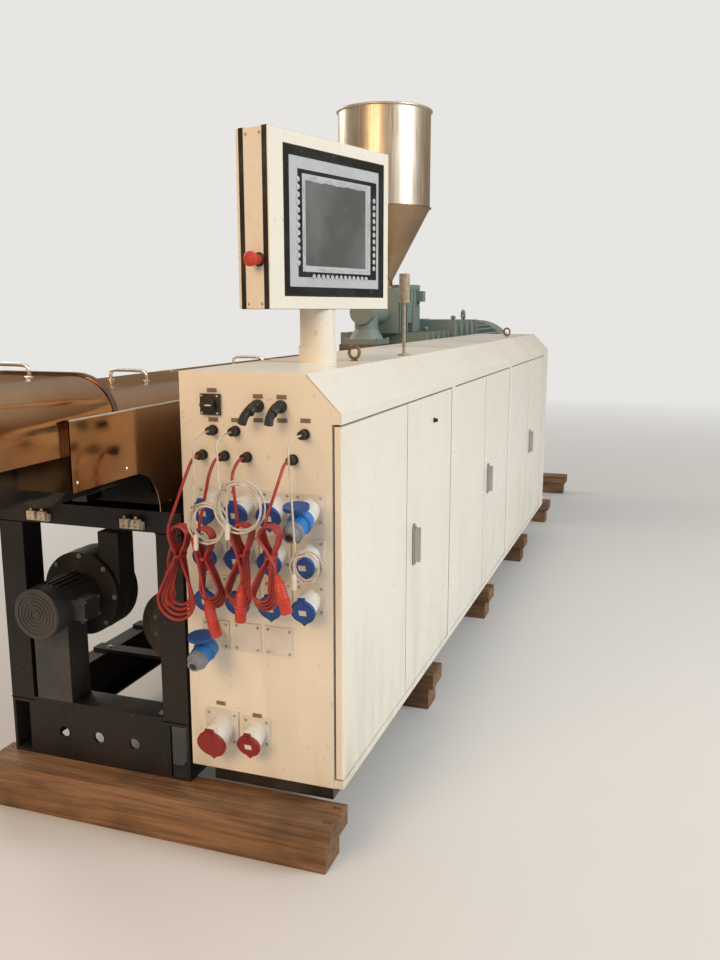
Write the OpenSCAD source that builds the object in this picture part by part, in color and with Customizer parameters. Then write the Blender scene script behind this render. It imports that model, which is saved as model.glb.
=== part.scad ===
/* [Timbers] */
// Height of the crosswise timbers that the machine stands on
timber_h = 140; // [120:5:180]
// Width of a timber along the machine
timber_w = 130; // [100:5:160]
// How far the first timber reaches in front of the frame
timber_lead = 95; // [60:5:110]
// Number of timbers
timber_count = 6; // [4:1:7]

/* [Cabinet] */
// Length of the control cabinet
cabinet_l = 3800; // [3760:10:4100]
// Depth of the control cabinet from door face to back
cabinet_w = 450; // [420:10:520]
// Height of the cabinet shell
cabinet_h = 1100; // [1000:10:1200]
// Height of the dark plinth under the cabinet
plinth_h = 60; // [40:5:100]
// How far the plinth stands back from the shell
plinth_setback = 45; // [20:5:80]
// Thickness of the shell's sheet steel
sheet_t = 3; // [2:0.5:4]
// Width of the sloping shoulder, seen from above
slope_w = 92; // [70:2:120]
// Drop of the sloping shoulder
slope_drop = 96; // [70:2:120]
// Height of the upright lip under the shoulder
lip_h = 27; // [20:1:40]

/* [Doors] */
// Number of door pairs
pair_count = 3; // [2:1:3]
// Width of the fixed strip behind the last pair
end_strip_w = 169; // [140:1:240]
// Thickness of a door leaf
leaf_t = 20; // [18:1:26]
// Gap round a door leaf
leaf_gap = 6; // [5:0.5:8]
// Width of the fixed strip between two pairs
mullion_w = 50; // [40:2:60]
// Height of the bottom sill
sill_h = 22; // [18:1:40]
// Depth of sill, header and strips
rail_d = 45; // [35:1:60]
// Width of the solid rim round a leaf
leaf_rim = 26; // [24:1:40]
// Thickness of a leaf's outer skin
leaf_skin = 3; // [2:0.5:4]
// Radius of a hinge pin
pin_r = 3.2; // [2.5:0.1:3.5]
// Length of a hinge pin inside the leaf
pin_l = 20; // [12:1:30]

/* [Operator panel] */
// Distance of the column from the cabinet's end
column_x = 485; // [440:5:600]
// Distance of the column from the door face
column_y = 255; // [220:5:280]
// Radius of the column
column_r = 52.5; // [45:0.5:60]
// Height of the collar that holds the column
collar_h = 50; // [40:2:70]
// Wall of the collar
collar_wall = 4; // [3:0.5:8]
// Clear height from the cabinet's top to the box
box_lift = 158; // [140:2:220]
// Width of the box
box_w = 576; // [500:4:640]
// Height of the box
box_h = 472; // [420:4:560]
// Depth of the box
box_d = 112; // [106:2:160]
// How far the box's middle lies beside the column
box_shift = 8; // [0:1:20]
// Turn of the box, seen from above
box_turn = -15.9; // [-30:0.1:0]

/* [Machine frame] */
// Gap between the cabinet's back and the machine frame
frame_gap = 10; // [5:1:40]
// Height of the barrel axis over the timbers
axis_z = 925; // [915:5:935]
// Width of the machine frame
frame_w = 600; // [580:10:640]
// Height of the frame's base channels
channel_h = 170; // [150:5:200]
// Width of a base channel's flange
channel_b = 60; // [50:2:75]
// Web and flange thickness of a base channel
channel_t = 9; // [7:0.5:12]
// Side of a square post
post_s = 80; // [60:5:90]
// Height of the frame's top face
frame_top = 780; // [770:5:790]
// Height of a top rail
top_rail_h = 60; // [50:5:80]

/* [Barrel] */
// Barrel's front face, ahead of the cabinet's end
barrel_lead = 650; // [620:5:700]
// Outer radius of the barrel tube
barrel_r = 85; // [80:1:88]
// Radius of the front flange
flange_r = 120; // [110:1:130]
// Thickness of the barrel's flanges
flange_t = 50; // [40:1:60]
// Radius of the discharge bore
discharge_r = 60; // [50:1:70]
// Depth of the discharge bore
discharge_l = 90; // [60:5:140]
// How far the trough's side sheets reach ahead of the cabinet's end
trough_lead = 370; // [340:2:370]
// Gap between the trough's rear end and the feed block
guard_gap = 85; // [65:5:125]
// Width of the trough between its outer faces
trough_w = 480; // [460:10:500]
// Height of the trough's side sheets over the timbers
trough_top = 1070; // [1050:5:1080]
// How far the front hood reaches ahead of the cabinet's end
hood_lead = 596; // [560:2:610]
// Joint between the front and rear hoods, ahead of the cabinet's end
hood_joint = 156; // [130:2:180]
// Height of the front hood's top over the timbers
hood_top = 1156; // [1140:2:1170]
// How much lower the rear hood is
hood_step = 46; // [30:2:60]
// Radius of the hoods' long edges
hood_r = 110; // [80:2:130]

/* [Feeder and hopper] */
// Distance of the feed port from the cabinet's end
port_x = 2435; // [2425:5:2450]
// Distance from the feed port to the hopper
port_to_hopper = 295; // [285:5:325]
// Height of the feeder's screw
feeder_z = 1300; // [1290:5:1320]
// Radius of the feeder's trough
feeder_r = 60; // [50:1:66]
// Radius of the hopper
hopper_r = 245; // [220:5:280]
// Radius of the hopper's outlet
outlet_r = 45; // [40:1:60]
// Height of the hopper's rim
hopper_top = 2340; // [2250:10:2400]
// Height at which the cone starts
cone_top = 1848; // [1820:4:1900]
// Height at which the cone ends
cone_end = 1470; // [1460:5:1490]
// Thickness of the hopper's sheet
hopper_t = 3; // [2:0.5:4]

/* [Drive] */
// Distance from the feed port to the distribution gearbox
port_to_split = 285; // [275:5:305]
// Length of the distribution gearbox
split_l = 520; // [480:10:540]
// Length of the neck between the gearboxes
neck_l = 60; // [50:5:80]
// Length of the reduction gearbox
reducer_l = 640; // [600:10:660]
// Height of the reduction gearbox's top
reducer_top = 1250; // [1210:5:1260]
// Distance from the reduction gearbox to the motor
coupling_l = 240; // [230:5:260]
// Radius of the main motor's ribbed body
motor_r = 310; // [280:5:320]
// Length of the main motor
motor_l = 1110; // [1050:10:1180]
// Number of ribs round the main motor
rib_count = 40; // [30:2:48]

/* [Hidden] */
$fn = 48;

// Heights and places that follow from the driving sizes
cabinet_z = plinth_h;
cabinet_top = cabinet_z + cabinet_h;
lip_z = cabinet_top - slope_drop - lip_h;
door_z = cabinet_z + sill_h + leaf_gap;
door_h = lip_z - leaf_gap - door_z;
pair_pitch = (cabinet_l - end_strip_w - sheet_t + leaf_gap + mullion_w) / pair_count;
leaf_w = (pair_pitch - 3 * leaf_gap - mullion_w) / 2;
pivot_d = 6;
axis_y = cabinet_w + frame_gap + frame_w / 2;
frame_y0 = axis_y - frame_w / 2;
frame_y1 = axis_y + frame_w / 2;
rail_z1 = channel_h;
x_low = -barrel_lead;
port_half = 110;
hopper_x = port_x + port_to_hopper;
split_x = port_x + port_to_split;
reducer_x = split_x + split_l + neck_l;
motor_x = reducer_x + reducer_l + coupling_l;
frame_l = motor_x + motor_l;
guard_end = port_x - port_half - guard_gap;
x_high = frame_l;
y_high = frame_y1 + 40;
// Clearance where two pieces meet
seam = 0.3;
handle_proud = 22;
mid_x = (x_low + x_high) / 2;
mid_y = (y_high - handle_proud) / 2;
eye_places = [575, cabinet_l - 550];

function pair_x(p) = sheet_t + p * pair_pitch;
function leaf_x(i) = pair_x(floor(i / 2)) + (i % 2) * (leaf_w + leaf_gap);

// Puts the machine over the middle of its own footprint
module placed() { translate([-mid_x, -mid_y, timber_h]) children(); }

// Lays a profile drawn in Y and Z along X
module along_x(x0, length) {
    translate([x0, 0, 0]) rotate([90, 0, 90]) linear_extrude(length) children();
}

module block(x, y, z) {
    translate([x[0], y[0], z[0]]) cube([x[1] - x[0], y[1] - y[0], z[1] - z[0]]);
}

module rod_x(x0, length, y, z, r) {
    translate([x0, y, z]) rotate([0, 90, 0]) cylinder(h = length, r = r);
}

// Each sleeper is a plank on a narrower beam
plank_h = 55;
module timber_sleepers() {
    span = frame_l - timber_w + timber_lead;
    color("burlywood") placed() for (i = [0:timber_count - 1])
        translate([-timber_lead + i * span / (timber_count - 1), 0, 0]) {
            translate([0, 0, -plank_h]) cube([timber_w, y_high, plank_h]);
            translate([12, 20, -timber_h]) cube([timber_w - 24, y_high - 40, timber_h - plank_h]);
        }
}

// Channel section with its web outside
module channel(h, b, t) {
    difference() {
        square([b, h]);
        translate([t, t]) square([b, h - 2 * t]);
    }
}

module base_side_rails() {
    color("dimgray") placed() {
        along_x(0, frame_l) translate([frame_y0, 0]) channel(channel_h, channel_b, channel_t);
        along_x(0, frame_l) translate([frame_y1, 0]) mirror([1, 0]) channel(channel_h, channel_b, channel_t);
    }
}

// Cross rails fit between the side rails, under the feed block, the gearboxes and the motor's ends
cross_rail_x = [0, guard_end - 980, port_x + 85, reducer_x + 80, motor_x + 60, frame_l - channel_b];
module base_cross_rails() {
    y0 = frame_y0 + channel_b;
    y1 = frame_y1 - channel_b;
    color("dimgray") placed() for (x = cross_rail_x)
        difference() {
            block([x, x + channel_b], [y0, y1], [0, rail_z1]);
            block([x + channel_t, x + channel_b + 1], [y0 - 1, y1 + 1], [channel_t, rail_z1 - channel_t]);
            for (y = [0.25, 0.5, 0.75])
                rod_x(x - 1, channel_b, y0 + y * (y1 - y0), channel_h * 0.5, 17);
        }
}

post_x = [0, (guard_end - post_s) / 2, guard_end - post_s];
module frame_posts() {
    color("dimgray") placed() for (x = post_x, y = [frame_y0, frame_y1 - post_s])
        block([x, x + post_s], [y, y + post_s], [rail_z1, frame_top - top_rail_h]);
}

module frame_top_rails() {
    z = [frame_top - top_rail_h, frame_top];
    x1 = post_x[2] + post_s;
    color("dimgray") placed() {
        for (y = [frame_y0, frame_y1 - post_s]) block([0, x1], [y, y + post_s], z);
        for (x = post_x) block([x, x + post_s], [frame_y0 + post_s, frame_y1 - post_s], z);
    }
}

module cabinet_plinth() {
    s = plinth_setback;
    color("#2b2623") placed() difference() {
        block([s, cabinet_l - s], [s, cabinet_w - s], [0, cabinet_z]);
        block([s + 50, cabinet_l - s - 50], [s + 50, cabinet_w - s - 50], [-1, cabinet_z + 1]);
    }
}

module cabinet_floor() {
    color("wheat") placed()
        block([sheet_t, cabinet_l - sheet_t], [rail_d, cabinet_w - sheet_t],
            [cabinet_z, cabinet_z + sheet_t]);
}

module cabinet_back() {
    color("wheat") placed()
        block([sheet_t, cabinet_l - sheet_t], [cabinet_w - sheet_t, cabinet_w],
            [cabinet_z, cabinet_top - sheet_t]);
}

// End wall outline: upright, sloping shoulder and flat top
module end_outline() {
    y0 = leaf_t + leaf_gap;
    polygon([[y0, cabinet_z], [cabinet_w, cabinet_z], [cabinet_w, cabinet_top - sheet_t],
        [slope_w + sheet_t, cabinet_top - sheet_t],
        [y0, cabinet_top - slope_drop + y0 * slope_drop / slope_w - sheet_t * 2]]);
}

module front_end_panel() {
    color("wheat") placed() along_x(0, sheet_t) end_outline();
}

module rear_end_panel() {
    color("wheat") placed() along_x(cabinet_l - sheet_t, sheet_t) end_outline();
}

// Folded hood: lip, shoulder and flat top in one sheet
module cabinet_roof() {
    t = sheet_t;
    z = cabinet_top;
    color("ivory") placed() along_x(0, cabinet_l)
        polygon([[0, lip_z], [t, lip_z], [t, z - slope_drop - t * 0.4], [slope_w + t * 0.4, z - t],
            [cabinet_w, z - t], [cabinet_w, z], [slope_w, z], [0, z - slope_drop]]);
}

// Sill under the leaves and header behind the roof's lip
module door_rails() {
    color("ivory") placed() {
        block([sheet_t, cabinet_l - sheet_t], [0, rail_d], [cabinet_z, cabinet_z + sill_h]);
        block([sheet_t, cabinet_l - sheet_t], [sheet_t, rail_d], [lip_z, lip_z + sill_h]);
    }
}

module door_mullions() {
    z = [cabinet_z + sill_h, lip_z];
    y = [leaf_t + leaf_gap, rail_d];
    color("ivory") placed() {
        block([sheet_t, sheet_t + mullion_w / 2], y, z);
        for (p = [1:pair_count - 1]) {
            x = pair_x(p) - leaf_gap - mullion_w;
            block([x, x + mullion_w], [0, rail_d], z);
        }
        x = pair_x(pair_count) - leaf_gap - mullion_w;
        block([x, cabinet_l], [0, leaf_t + leaf_gap], z);
        block([x, cabinet_l - sheet_t], [0, rail_d], z);
    }
}

// A leaf's pivot lies on its outer corner's rounding
function leaf_right(i) = i % 2 == 1;
function pivot_x(i) = leaf_right(i) ? leaf_x(i) + leaf_w - pivot_d : leaf_x(i) + pivot_d;

module hinge_pins() {
    seat = 0.3;
    color("silver") placed() for (i = [0:2 * pair_count - 1]) translate([pivot_x(i), pivot_d, 0]) {
        translate([0, 0, cabinet_z + sill_h]) cylinder(h = leaf_gap + pin_l, r = pin_r);
        translate([0, 0, cabinet_z + sill_h]) cylinder(h = leaf_gap - seat, r = pivot_d - 0.5);
        translate([0, 0, lip_z - leaf_gap - pin_l]) cylinder(h = leaf_gap + pin_l, r = pin_r);
    }
}

// Door leaf as a pan with a solid rim; the hinge edge is rounded about the pivot
module leaf(i) {
    x0 = leaf_x(i);
    hinge = pivot_x(i);
    right = leaf_right(i);
    square_x0 = right ? x0 : hinge;
    square_x1 = right ? hinge : x0 + leaf_w;
    difference() {
        union() {
            block([square_x0, square_x1], [0, leaf_t], [door_z, door_z + door_h]);
            block([x0, x0 + leaf_w], [pivot_d, leaf_t], [door_z, door_z + door_h]);
            translate([hinge, pivot_d, door_z]) cylinder(h = door_h, r = pivot_d);
        }
        block([x0 + leaf_rim, x0 + leaf_w - leaf_rim], [leaf_skin, leaf_t + 1],
            [door_z + leaf_rim, door_z + door_h - leaf_rim]);
        translate([hinge, pivot_d, door_z - 1]) cylinder(h = pin_l + 3, r = pin_r + 0.08);
        translate([hinge, pivot_d, door_z + door_h - pin_l - 2]) cylinder(h = pin_l + 3, r = pin_r + 0.08);
    }
}

module door(i) { color("ivory") placed() leaf(i); }

// Swing handle with an escutcheon plate, on the active leaf of a pair
handle_z = cabinet_z + 440;
handle_l = 135;
module handle(p) {
    x = leaf_x(2 * p + 1) + 80;
    color("silver") placed() {
        translate([x, 0, handle_z]) rotate([90, 0, 0]) linear_extrude(6) hull() {
            translate([0, 14]) circle(14);
            translate([0, handle_l - 14]) circle(14);
        }
        translate([x, -6, handle_z]) rotate([90, 0, 0]) linear_extrude(handle_proud - 6) hull() {
            translate([0, 18]) circle(9);
            translate([0, handle_l - 18]) circle(9);
        }
    }
}

// Eye bolt: ring on a short collar
module eye(x, y, z, r, wire) {
    translate([x, y, z]) {
        cylinder(h = wire * 1.1, r = wire * 1.6);
        translate([0, 0, r + wire * 1.4]) rotate([90, 0, 30])
            rotate_extrude() translate([r, 0]) circle(wire);
    }
}

module lifting_eyes() {
    color("peru") placed() for (x = eye_places) eye(x, 170, cabinet_top, 20, 5);
}

module column_collar() {
    color("ivory") placed() translate([column_x, column_y, cabinet_top]) difference() {
        cylinder(h = collar_h, r = column_r + collar_wall);
        translate([0, 0, -1]) cylinder(h = collar_h + 2, r = column_r + 0.1);
    }
}

box_z = cabinet_top + box_lift;
front_d = 14;
// Margins of the bezel in the front frame: near side, far side, top and bottom
near_margin = 61;
far_margin = 24;
edge_margin = 34;
// The bezel's border, then the keypad's border round the screen
bezel_w = 26;
bezel_t = 8;
keys_w = 68;
keys_h = 60;
stop_back = 36;
stop_up = 131;
stop_r = 20;

module at_column() { placed() translate([column_x, column_y, 0]) rotate(box_turn) children(); }

// Local origin at the box's near lower front corner, local Y runs to its back
module at_box() { at_column() translate([box_shift - box_w / 2, -box_d / 2, box_z]) children(); }

module operator_column() {
    color("ivory") at_column() translate([0, 0, cabinet_top + seam])
        cylinder(h = box_lift - seam, r = column_r);
}

// Box shell behind the front frame
module operator_box() {
    t = sheet_t;
    color("wheat") at_box() translate([0, front_d, 0]) difference() {
        cube([box_w, box_d - front_d, box_h]);
        translate([t, -1, t]) cube([box_w - 2 * t, box_d - front_d - t + 1, box_h - 2 * t]);
    }
}

module operator_front() {
    color("ivory") at_box() difference() {
        cube([box_w, front_d, box_h]);
        translate([near_margin, -1, edge_margin])
            cube([box_w - near_margin - far_margin, bezel_t + 1, box_h - 2 * edge_margin]);
    }
}

// Bezel with a sunk keypad and, deeper still, the screen
module operator_screen() {
    w = box_w - near_margin - far_margin - 2 * seam;
    h = box_h - 2 * edge_margin - 2 * seam;
    color("lightgray") at_box() translate([near_margin + seam, 1, edge_margin + seam]) difference() {
        cube([w, bezel_t - 1, h]);
        translate([bezel_w, -1, bezel_w]) cube([w - 2 * bezel_w, 3, h - 2 * bezel_w]);
        translate([bezel_w + keys_w, 0, bezel_w + keys_h])
            cube([w - 2 * (bezel_w + keys_w), 4, h - 2 * (bezel_w + keys_h)]);
    }
}

module emergency_stop() {
    color("red") at_box() translate([0, stop_back, stop_up]) rotate([0, -90, 0]) {
        cylinder(h = 16, r = stop_r - 6);
        translate([0, 0, 16]) cylinder(h = 16, r1 = stop_r - 6, r2 = stop_r);
        translate([0, 0, 32]) cylinder(h = 10, r = stop_r);
    }
}

lamp_x = 930;
lamp_y = 115;
module signal_lamp() {
    color("tan") placed() translate([lamp_x, lamp_y, cabinet_top]) {
        cylinder(h = 6, r = 20);
        cylinder(h = 180, r = 5.5);
        translate([0, 0, 178]) cylinder(h = 95, r = 18);
    }
}

// Sockets and plates on the cabinet's end, as distances from the door face and the shell's bottom
socket_cols = [86, 178, 270, 362];
socket_rows = [760, 640, 522];
plugged = [[86, 760], [362, 395]];
blue_places = concat([for (z = socket_rows, y = socket_cols) [y, z]], [[362, 395]]);
red_places = [[352, 128, 1.25], [248, 130, 1]];
plate_places = [[270, 395], [178, 395]];
switch_place = [357, 1017];
elbow_places = [[225, 1017], [162, 1017]];
white_exits = [354, 290, 98];
red_exits = [386, 322, 258, 130];
white_row = 950;
red_row = 884;
flange_s = 80;
flange_h = 6;
tilt = 18;
body_l = 52;
body_r = 29;
lid_r = 33;
lid_t = 9;
lug_back = 10;
lug_rise = 10;
open_angle = 80;
nose = 14;

module at_end(y, z) { placed() translate([0, y, cabinet_z + z]) rotate([90, 0, -90]) children(); }

// Local Z points away from the panel
module socket_housing(k) {
    s = flange_s * k;
    difference() {
        union() {
            translate([-s / 2, -s / 2, 0]) cube([s, s, flange_h]);
            rotate([tilt, 0, 0]) translate([0, 0, -6]) cylinder(h = body_l * k + 6, r = body_r * k);
            rotate([tilt, 0, 0]) translate([-9 * k, 20 * k, (body_l - lug_back) * k])
                cube([18 * k, body_r * k + lug_rise - 20 * k, 8 * k]);
        }
        translate([-s, -s, -60]) cube([2 * s, 2 * s, 60]);
        rotate([tilt, 0, 0]) translate([0, 0, body_l * k - 30]) cylinder(h = 31, r = body_r * k - 5);
    }
}

// Closed lid with its hinge lug on top and a pointed catch below
module socket_lid(k) {
    rotate([tilt, 0, 0]) translate([0, 0, body_l * k + seam]) {
        cylinder(h = lid_t, r = lid_r * k);
        translate([-9 * k, 20 * k, 0]) cube([18 * k, 20 * k, lid_t]);
        translate([0, -lid_r * k + 6, 0]) rotate(45)
            translate([-nose / 2, -nose / 2, 0]) cube([nose, nose, lid_t]);
    }
}

// Lid swung up above its socket while a plug is in
module open_lid(k) {
    edge = 6;
    hinge_up = body_r * k + lug_rise + seam + edge * cos(open_angle);
    rotate([tilt, 0, 0]) translate([0, hinge_up, body_l * k + seam]) rotate([open_angle, 0, 0])
        translate([0, lid_r * k - edge, -lid_t]) cylinder(h = lid_t, r = lid_r * k);
}

function is_plugged(p) = len([for (q = plugged) if (q == p) 1]) > 0;

module socket_housings() {
    color("whitesmoke") {
        for (p = blue_places) at_end(p[0], p[1]) socket_housing(1);
        for (p = red_places) at_end(p[0], p[1]) socket_housing(p[2]);
        for (p = plate_places) at_end(p[0], p[1]) translate([-flange_s / 2, -flange_s / 2, 0])
            cube([flange_s, flange_s, 3]);
    }
}

module blue_socket_lids() {
    color("royalblue") for (p = blue_places) at_end(p[0], p[1])
        if (is_plugged(p)) open_lid(1); else socket_lid(1);
}

module red_socket_lids() {
    color("firebrick") for (p = red_places) at_end(p[0], p[1]) socket_lid(p[2]);
}

// Plug: a pin shroud, a grip body and a clamping nut
module blue_plugs() {
    color("deepskyblue") for (p = plugged) at_end(p[0], p[1]) rotate([tilt, 0, 0])
        translate([0, 0, body_l]) {
        translate([0, 0, seam]) cylinder(h = 24, r = 31);
        cylinder(h = 58, r = 26);
        translate([0, 0, 58]) cylinder(h = 30, r1 = 24, r2 = 15);
    }
}

module lead_exit() {
    cylinder(h = 5, r = 14);
    cylinder(h = connector_l, r = 11);
}

module panel_switchgear() {
    color("black") {
        at_end(switch_place[0], switch_place[1]) {
            translate([-27, -27, 0]) cube([54, 54, 12]);
            cylinder(h = 20, r = 19);
            translate([-18, -5, 0]) cube([36, 10, 32]);
        }
        for (p = elbow_places) at_end(p[0], p[1]) {
            cylinder(h = 5, r = 15);
            cylinder(h = 30, r = 12);
            translate([0, -1, 30]) rotate([35, 0, 0]) translate([0, 0, -4]) cylinder(h = 26, r = 11);
        }
        for (y = white_exits) at_end(y, white_row) lead_exit();
        for (y = red_exits) at_end(y, red_row) lead_exit();
    }
}

// Hanging leads. Routes run from a connector on the panel down to the side of a hank or coil
connector_l = 26;
red_lead_r = 4;
white_lead_r = 2.5;
hank_depth = 42;
turns_depth = 32;
tie_r = 12;
tie_up = 52;
hank_top_r = 29;
// Each hank: distance ahead, place and height of its tie, place, height and radius of its lower bend
hanks = [[-120, 394, 704, 404, 585, 56], [-120, 323, 704, 309, 602, 36], [-120, 215, 723, 236, 606, 35],
    [-160, 122, 735, 147, 622, 34]];
// Each coil: distance ahead, place, height and radius
coils = [[-158, 292, 803, 46], [-192, 188, 858, 58], [-165, 30, 717, 33]];
coil_wire = 8;
coil_depth = 30;
coil_turns_depth = 24;

function unit(v) = v / norm(v);
function bend(a, b, c, d, t) = 0.5 * (2 * b + (c - a) * t + (2 * a - 5 * b + 4 * c - d) * t * t
    + (3 * b - a - 3 * c + d) * t * t * t);
function smooth(p) = let(n = len(p) - 1) concat([for (i = [0:n - 1], t = [0, 0.5])
    bend(p[max(i - 1, 0)], p[i], p[i + 1], p[min(i + 2, n)], t)], [p[n]]);

module tube(path, r, sides = 8) {
    n = len(path);
    points = [for (i = [0:n - 1]) let(t = unit(path[min(i + 1, n - 1)] - path[max(i - 1, 0)]),
        u = unit(cross(t, [0, 1, 0])), v = cross(t, u))
        for (k = [0:sides - 1]) path[i] + r * (cos(k * 360 / sides) * u + sin(k * 360 / sides) * v)];
    walls = [for (i = [0:n - 2], k = [0:sides - 1]) let(a = i * sides + k, b = i * sides + (k + 1) % sides)
        [a, a + sides, b + sides, b]];
    ends = [[for (k = [0:sides - 1]) k], [for (k = [0:sides - 1]) n * sides - 1 - k]];
    polyhedron(points, concat(walls, ends));
}

// Rise over a bend's centre at which the edge of a lead that drops at distance r meets the bend's outside
function meet(r, lead_r, outside) = sqrt(outside * outside - pow(r - 0.8 * lead_r, 2));
side_r = hank_top_r - red_lead_r - 1;
// The first hank's turns start at its front, the others' at the back
function start_x(i) = hanks[i][0] + (i == 0 ? -0.5 : 0.5) * turns_depth;
function hang(y, z, bend, end) = concat([[-connector_l, y, z], [bend[0] * 0.64, y, z - bend[1] * 0.12]],
    [for (t = [0:3]) let(a = [bend[0], y, z - bend[1]]) a + (end - a) * t / 3]);
function red_route(i) = hang(red_exits[i], cabinet_z + red_row, [-88, 34],
    [start_x(i), hanks[i][1] + side_r, hanks[i][2] + tie_up + meet(side_r, red_lead_r, hank_top_r)]);
function white_route(i) = hang(white_exits[i], cabinet_z + white_row, [-104, 20],
    [coils[i][0] + coil_turns_depth / 2, coils[i][1] + coils[i][3],
        coils[i][2] + meet(coils[i][3], white_lead_r, coils[i][3] + coil_wire)]);

// Each in-line connector: its hank, side of the hank, place and height of its top, lean from upright
connector_r = 15;
connectors = [[0, 1, 452, 650, 0], [1, -1, 303, 604, 16], [2, -1, 205, 654, -3], [3, -1, 93, 701, 16]];
small_r = 6;
function connector_x(c) = hanks[c[0]][0] + c[1] * (hank_depth / 2 + connector_r + seam);
function above(c, k) = [connector_x(c), c[2] + k * sin(c[4]), c[3] + k * cos(c[4])];
// The last strand of a hank runs down its face and straight into the connector
function tail(c) = let(h = hanks[c[0]], x = h[0] + c[1] * (hank_depth / 2 + red_lead_r + 3 * seam))
    [[x, h[1], h[2] + tie_up - 6], [x, h[1], h[2] + 12], above(c, 26), above(c, 10), above(c, 0)];

// Outline round two bends, one over the other
module egg(a, r1, b, r2) {
    d = b - a;
    lean = atan2(d[0], d[1]);
    side = asin((r1 - r2) / norm(d));
    translate(a) rotate(-lean) {
        circle(r1);
        translate([0, norm(d)]) circle(r2);
        polygon([[r1 * cos(side), r1 * sin(side)], [r2 * cos(side), norm(d) + r2 * sin(side)],
            [-r2 * cos(side), norm(d) + r2 * sin(side)], [-r1 * cos(side), r1 * sin(side)]]);
    }
}

module lead_tubes() {
    color("firebrick") placed() {
        for (i = [0:3]) tube(smooth(red_route(i)), red_lead_r);
        for (i = [0:2]) tube(smooth(white_route(i)), white_lead_r);
        for (c = connectors) tube(smooth(tail(c)), red_lead_r);
    }
}

module lead_coils() {
    color("firebrick") placed() {
        for (h = hanks) along_x(h[0] - hank_depth / 2, hank_depth) {
            egg([h[3], h[4]], h[5], [h[1], h[2]], tie_r);
            egg([h[1], h[2]], tie_r, [h[1], h[2] + tie_up], hank_top_r);
        }
        for (c = coils) translate([c[0] - coil_depth / 2, c[1], c[2]]) rotate([0, 90, 0]) rotate_extrude()
            translate([c[3] - coil_wire, 0]) square([2 * coil_wire, coil_depth]);
    }
}

module lead_connectors() {
    color("red") placed() for (c = connectors)
        translate([connector_x(c), c[2], c[3]]) rotate([180 - c[4], 0, 0]) {
            cylinder(h = 26, r1 = 7, r2 = 13);
            translate([0, 0, 26]) cylinder(h = 34, r = connector_r - 0.6);
            translate([0, 0, 60]) cylinder(h = 12, r = connector_r);
            translate([0, 0, 72]) cylinder(h = 24, r = 13);
        }
    color("white") placed() for (c = coils)
        translate([c[0] - coil_depth / 2 - small_r - seam, c[1] + 22, c[2] - c[3] + 20])
            rotate([180, 0, 0]) cylinder(h = 40, r = small_r);
}

port_top = axis_z + 215;
port_r = 45;
// Heater bands fill the barrel from behind its front to the feed block, with a gap after each
band_t = 25;
band_count = 5;
band_gap = 70;
band_start = x_low + 450;
band_pitch = (port_x - port_half - 145 - band_start + band_gap) / band_count;
band_l = band_pitch - band_gap;
module barrel() {
    l = split_x - x_low;
    color("slategray") placed() difference() {
        union() {
            rod_x(x_low, l, axis_y, axis_z, barrel_r);
            rod_x(x_low, flange_t, axis_y, axis_z, flange_r);
            rod_x(split_x - flange_t, flange_t, axis_y, axis_z, flange_r + 20);
            block([port_x - port_half, port_x + port_half], [axis_y - port_half, axis_y + port_half],
                [axis_z - 110, port_top]);
        }
        rod_x(x_low - 1, discharge_l + 1, axis_y, axis_z, discharge_r);
        for (a = [0:45:315]) translate([0, axis_y, axis_z]) rotate([a + 22.5, 0, 0])
            rod_x(x_low - 1, flange_t + 2, 0, flange_r - 22, 9);
        translate([port_x, axis_y, axis_z]) cylinder(h = 300, r = port_r);
    }
}

module heater_bands() {
    color("gainsboro") placed() for (i = [0:band_count - 1])
        let(x = band_start + i * band_pitch) difference() {
            rod_x(x, band_l, axis_y, axis_z, barrel_r + band_t);
            rod_x(x - 1, band_l + 2, axis_y, axis_z, barrel_r + seam);
        }
}

// Saddles stand in the gaps between the heater bands
saddle_l = 60;
saddle_half = 70;
module barrel_saddle() {
    before = (band_gap + saddle_l) / 2;
    rail_z0 = frame_top - top_rail_h;
    color("dimgray") placed() for (i = [1, 3]) let(x = band_start + i * band_pitch - before) difference() {
        union() {
            block([x, x + saddle_l], [frame_y0 + post_s, frame_y1 - post_s], [rail_z0, frame_top]);
            block([x, x + saddle_l], [axis_y - saddle_half, axis_y + saddle_half], [frame_top, axis_z]);
        }
        rod_x(x - 1, saddle_l + 2, axis_y, axis_z, barrel_r + 0.2);
    }
}

fold = 14;
// Trough: two side sheets with a folded top edge, and a front plate
module barrel_trough() {
    y0 = axis_y - trough_w / 2;
    y1 = axis_y + trough_w / 2;
    x = [-trough_lead, guard_end];
    clear_r = barrel_r + 6;
    color("silver") placed() difference() {
        union() {
            for (y = [y0, y1 - 2]) block(x, [y, y + 2], [frame_top, trough_top]);
            block(x, [y0, y0 + fold], [trough_top - 2, trough_top]);
            block(x, [y1 - fold, y1], [trough_top - 2, trough_top]);
            block([x[0], x[0] + 2], [y0, y1], [frame_top, trough_top]);
            block([x[1] - 2, x[1]], [y0, y1], [frame_top, trough_top]);
        }
        block([x[0] - 1, x[1] + 1], [axis_y - clear_r, axis_y + clear_r], [axis_z, trough_top + 1]);
        rod_x(x[0] - 1, x[1] - x[0] + 2, axis_y, axis_z, clear_r);
        block([x[0] - 1, x[1] + 1], [y0 + fold, y1 - fold], [axis_z + 60, trough_top + 1]);
    }
}

module hood_outline(half_w, z0, z1, r) {
    h = z1 - z0;
    translate([axis_y - half_w, z0]) intersection() {
        square([2 * half_w, h]);
        union() {
            square([2 * half_w, h - r]);
            translate([r, 0]) square([2 * half_w - 2 * r, h]);
            for (y = [r, 2 * half_w - r]) translate([y, h - r]) circle(r);
        }
    }
}

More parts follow.
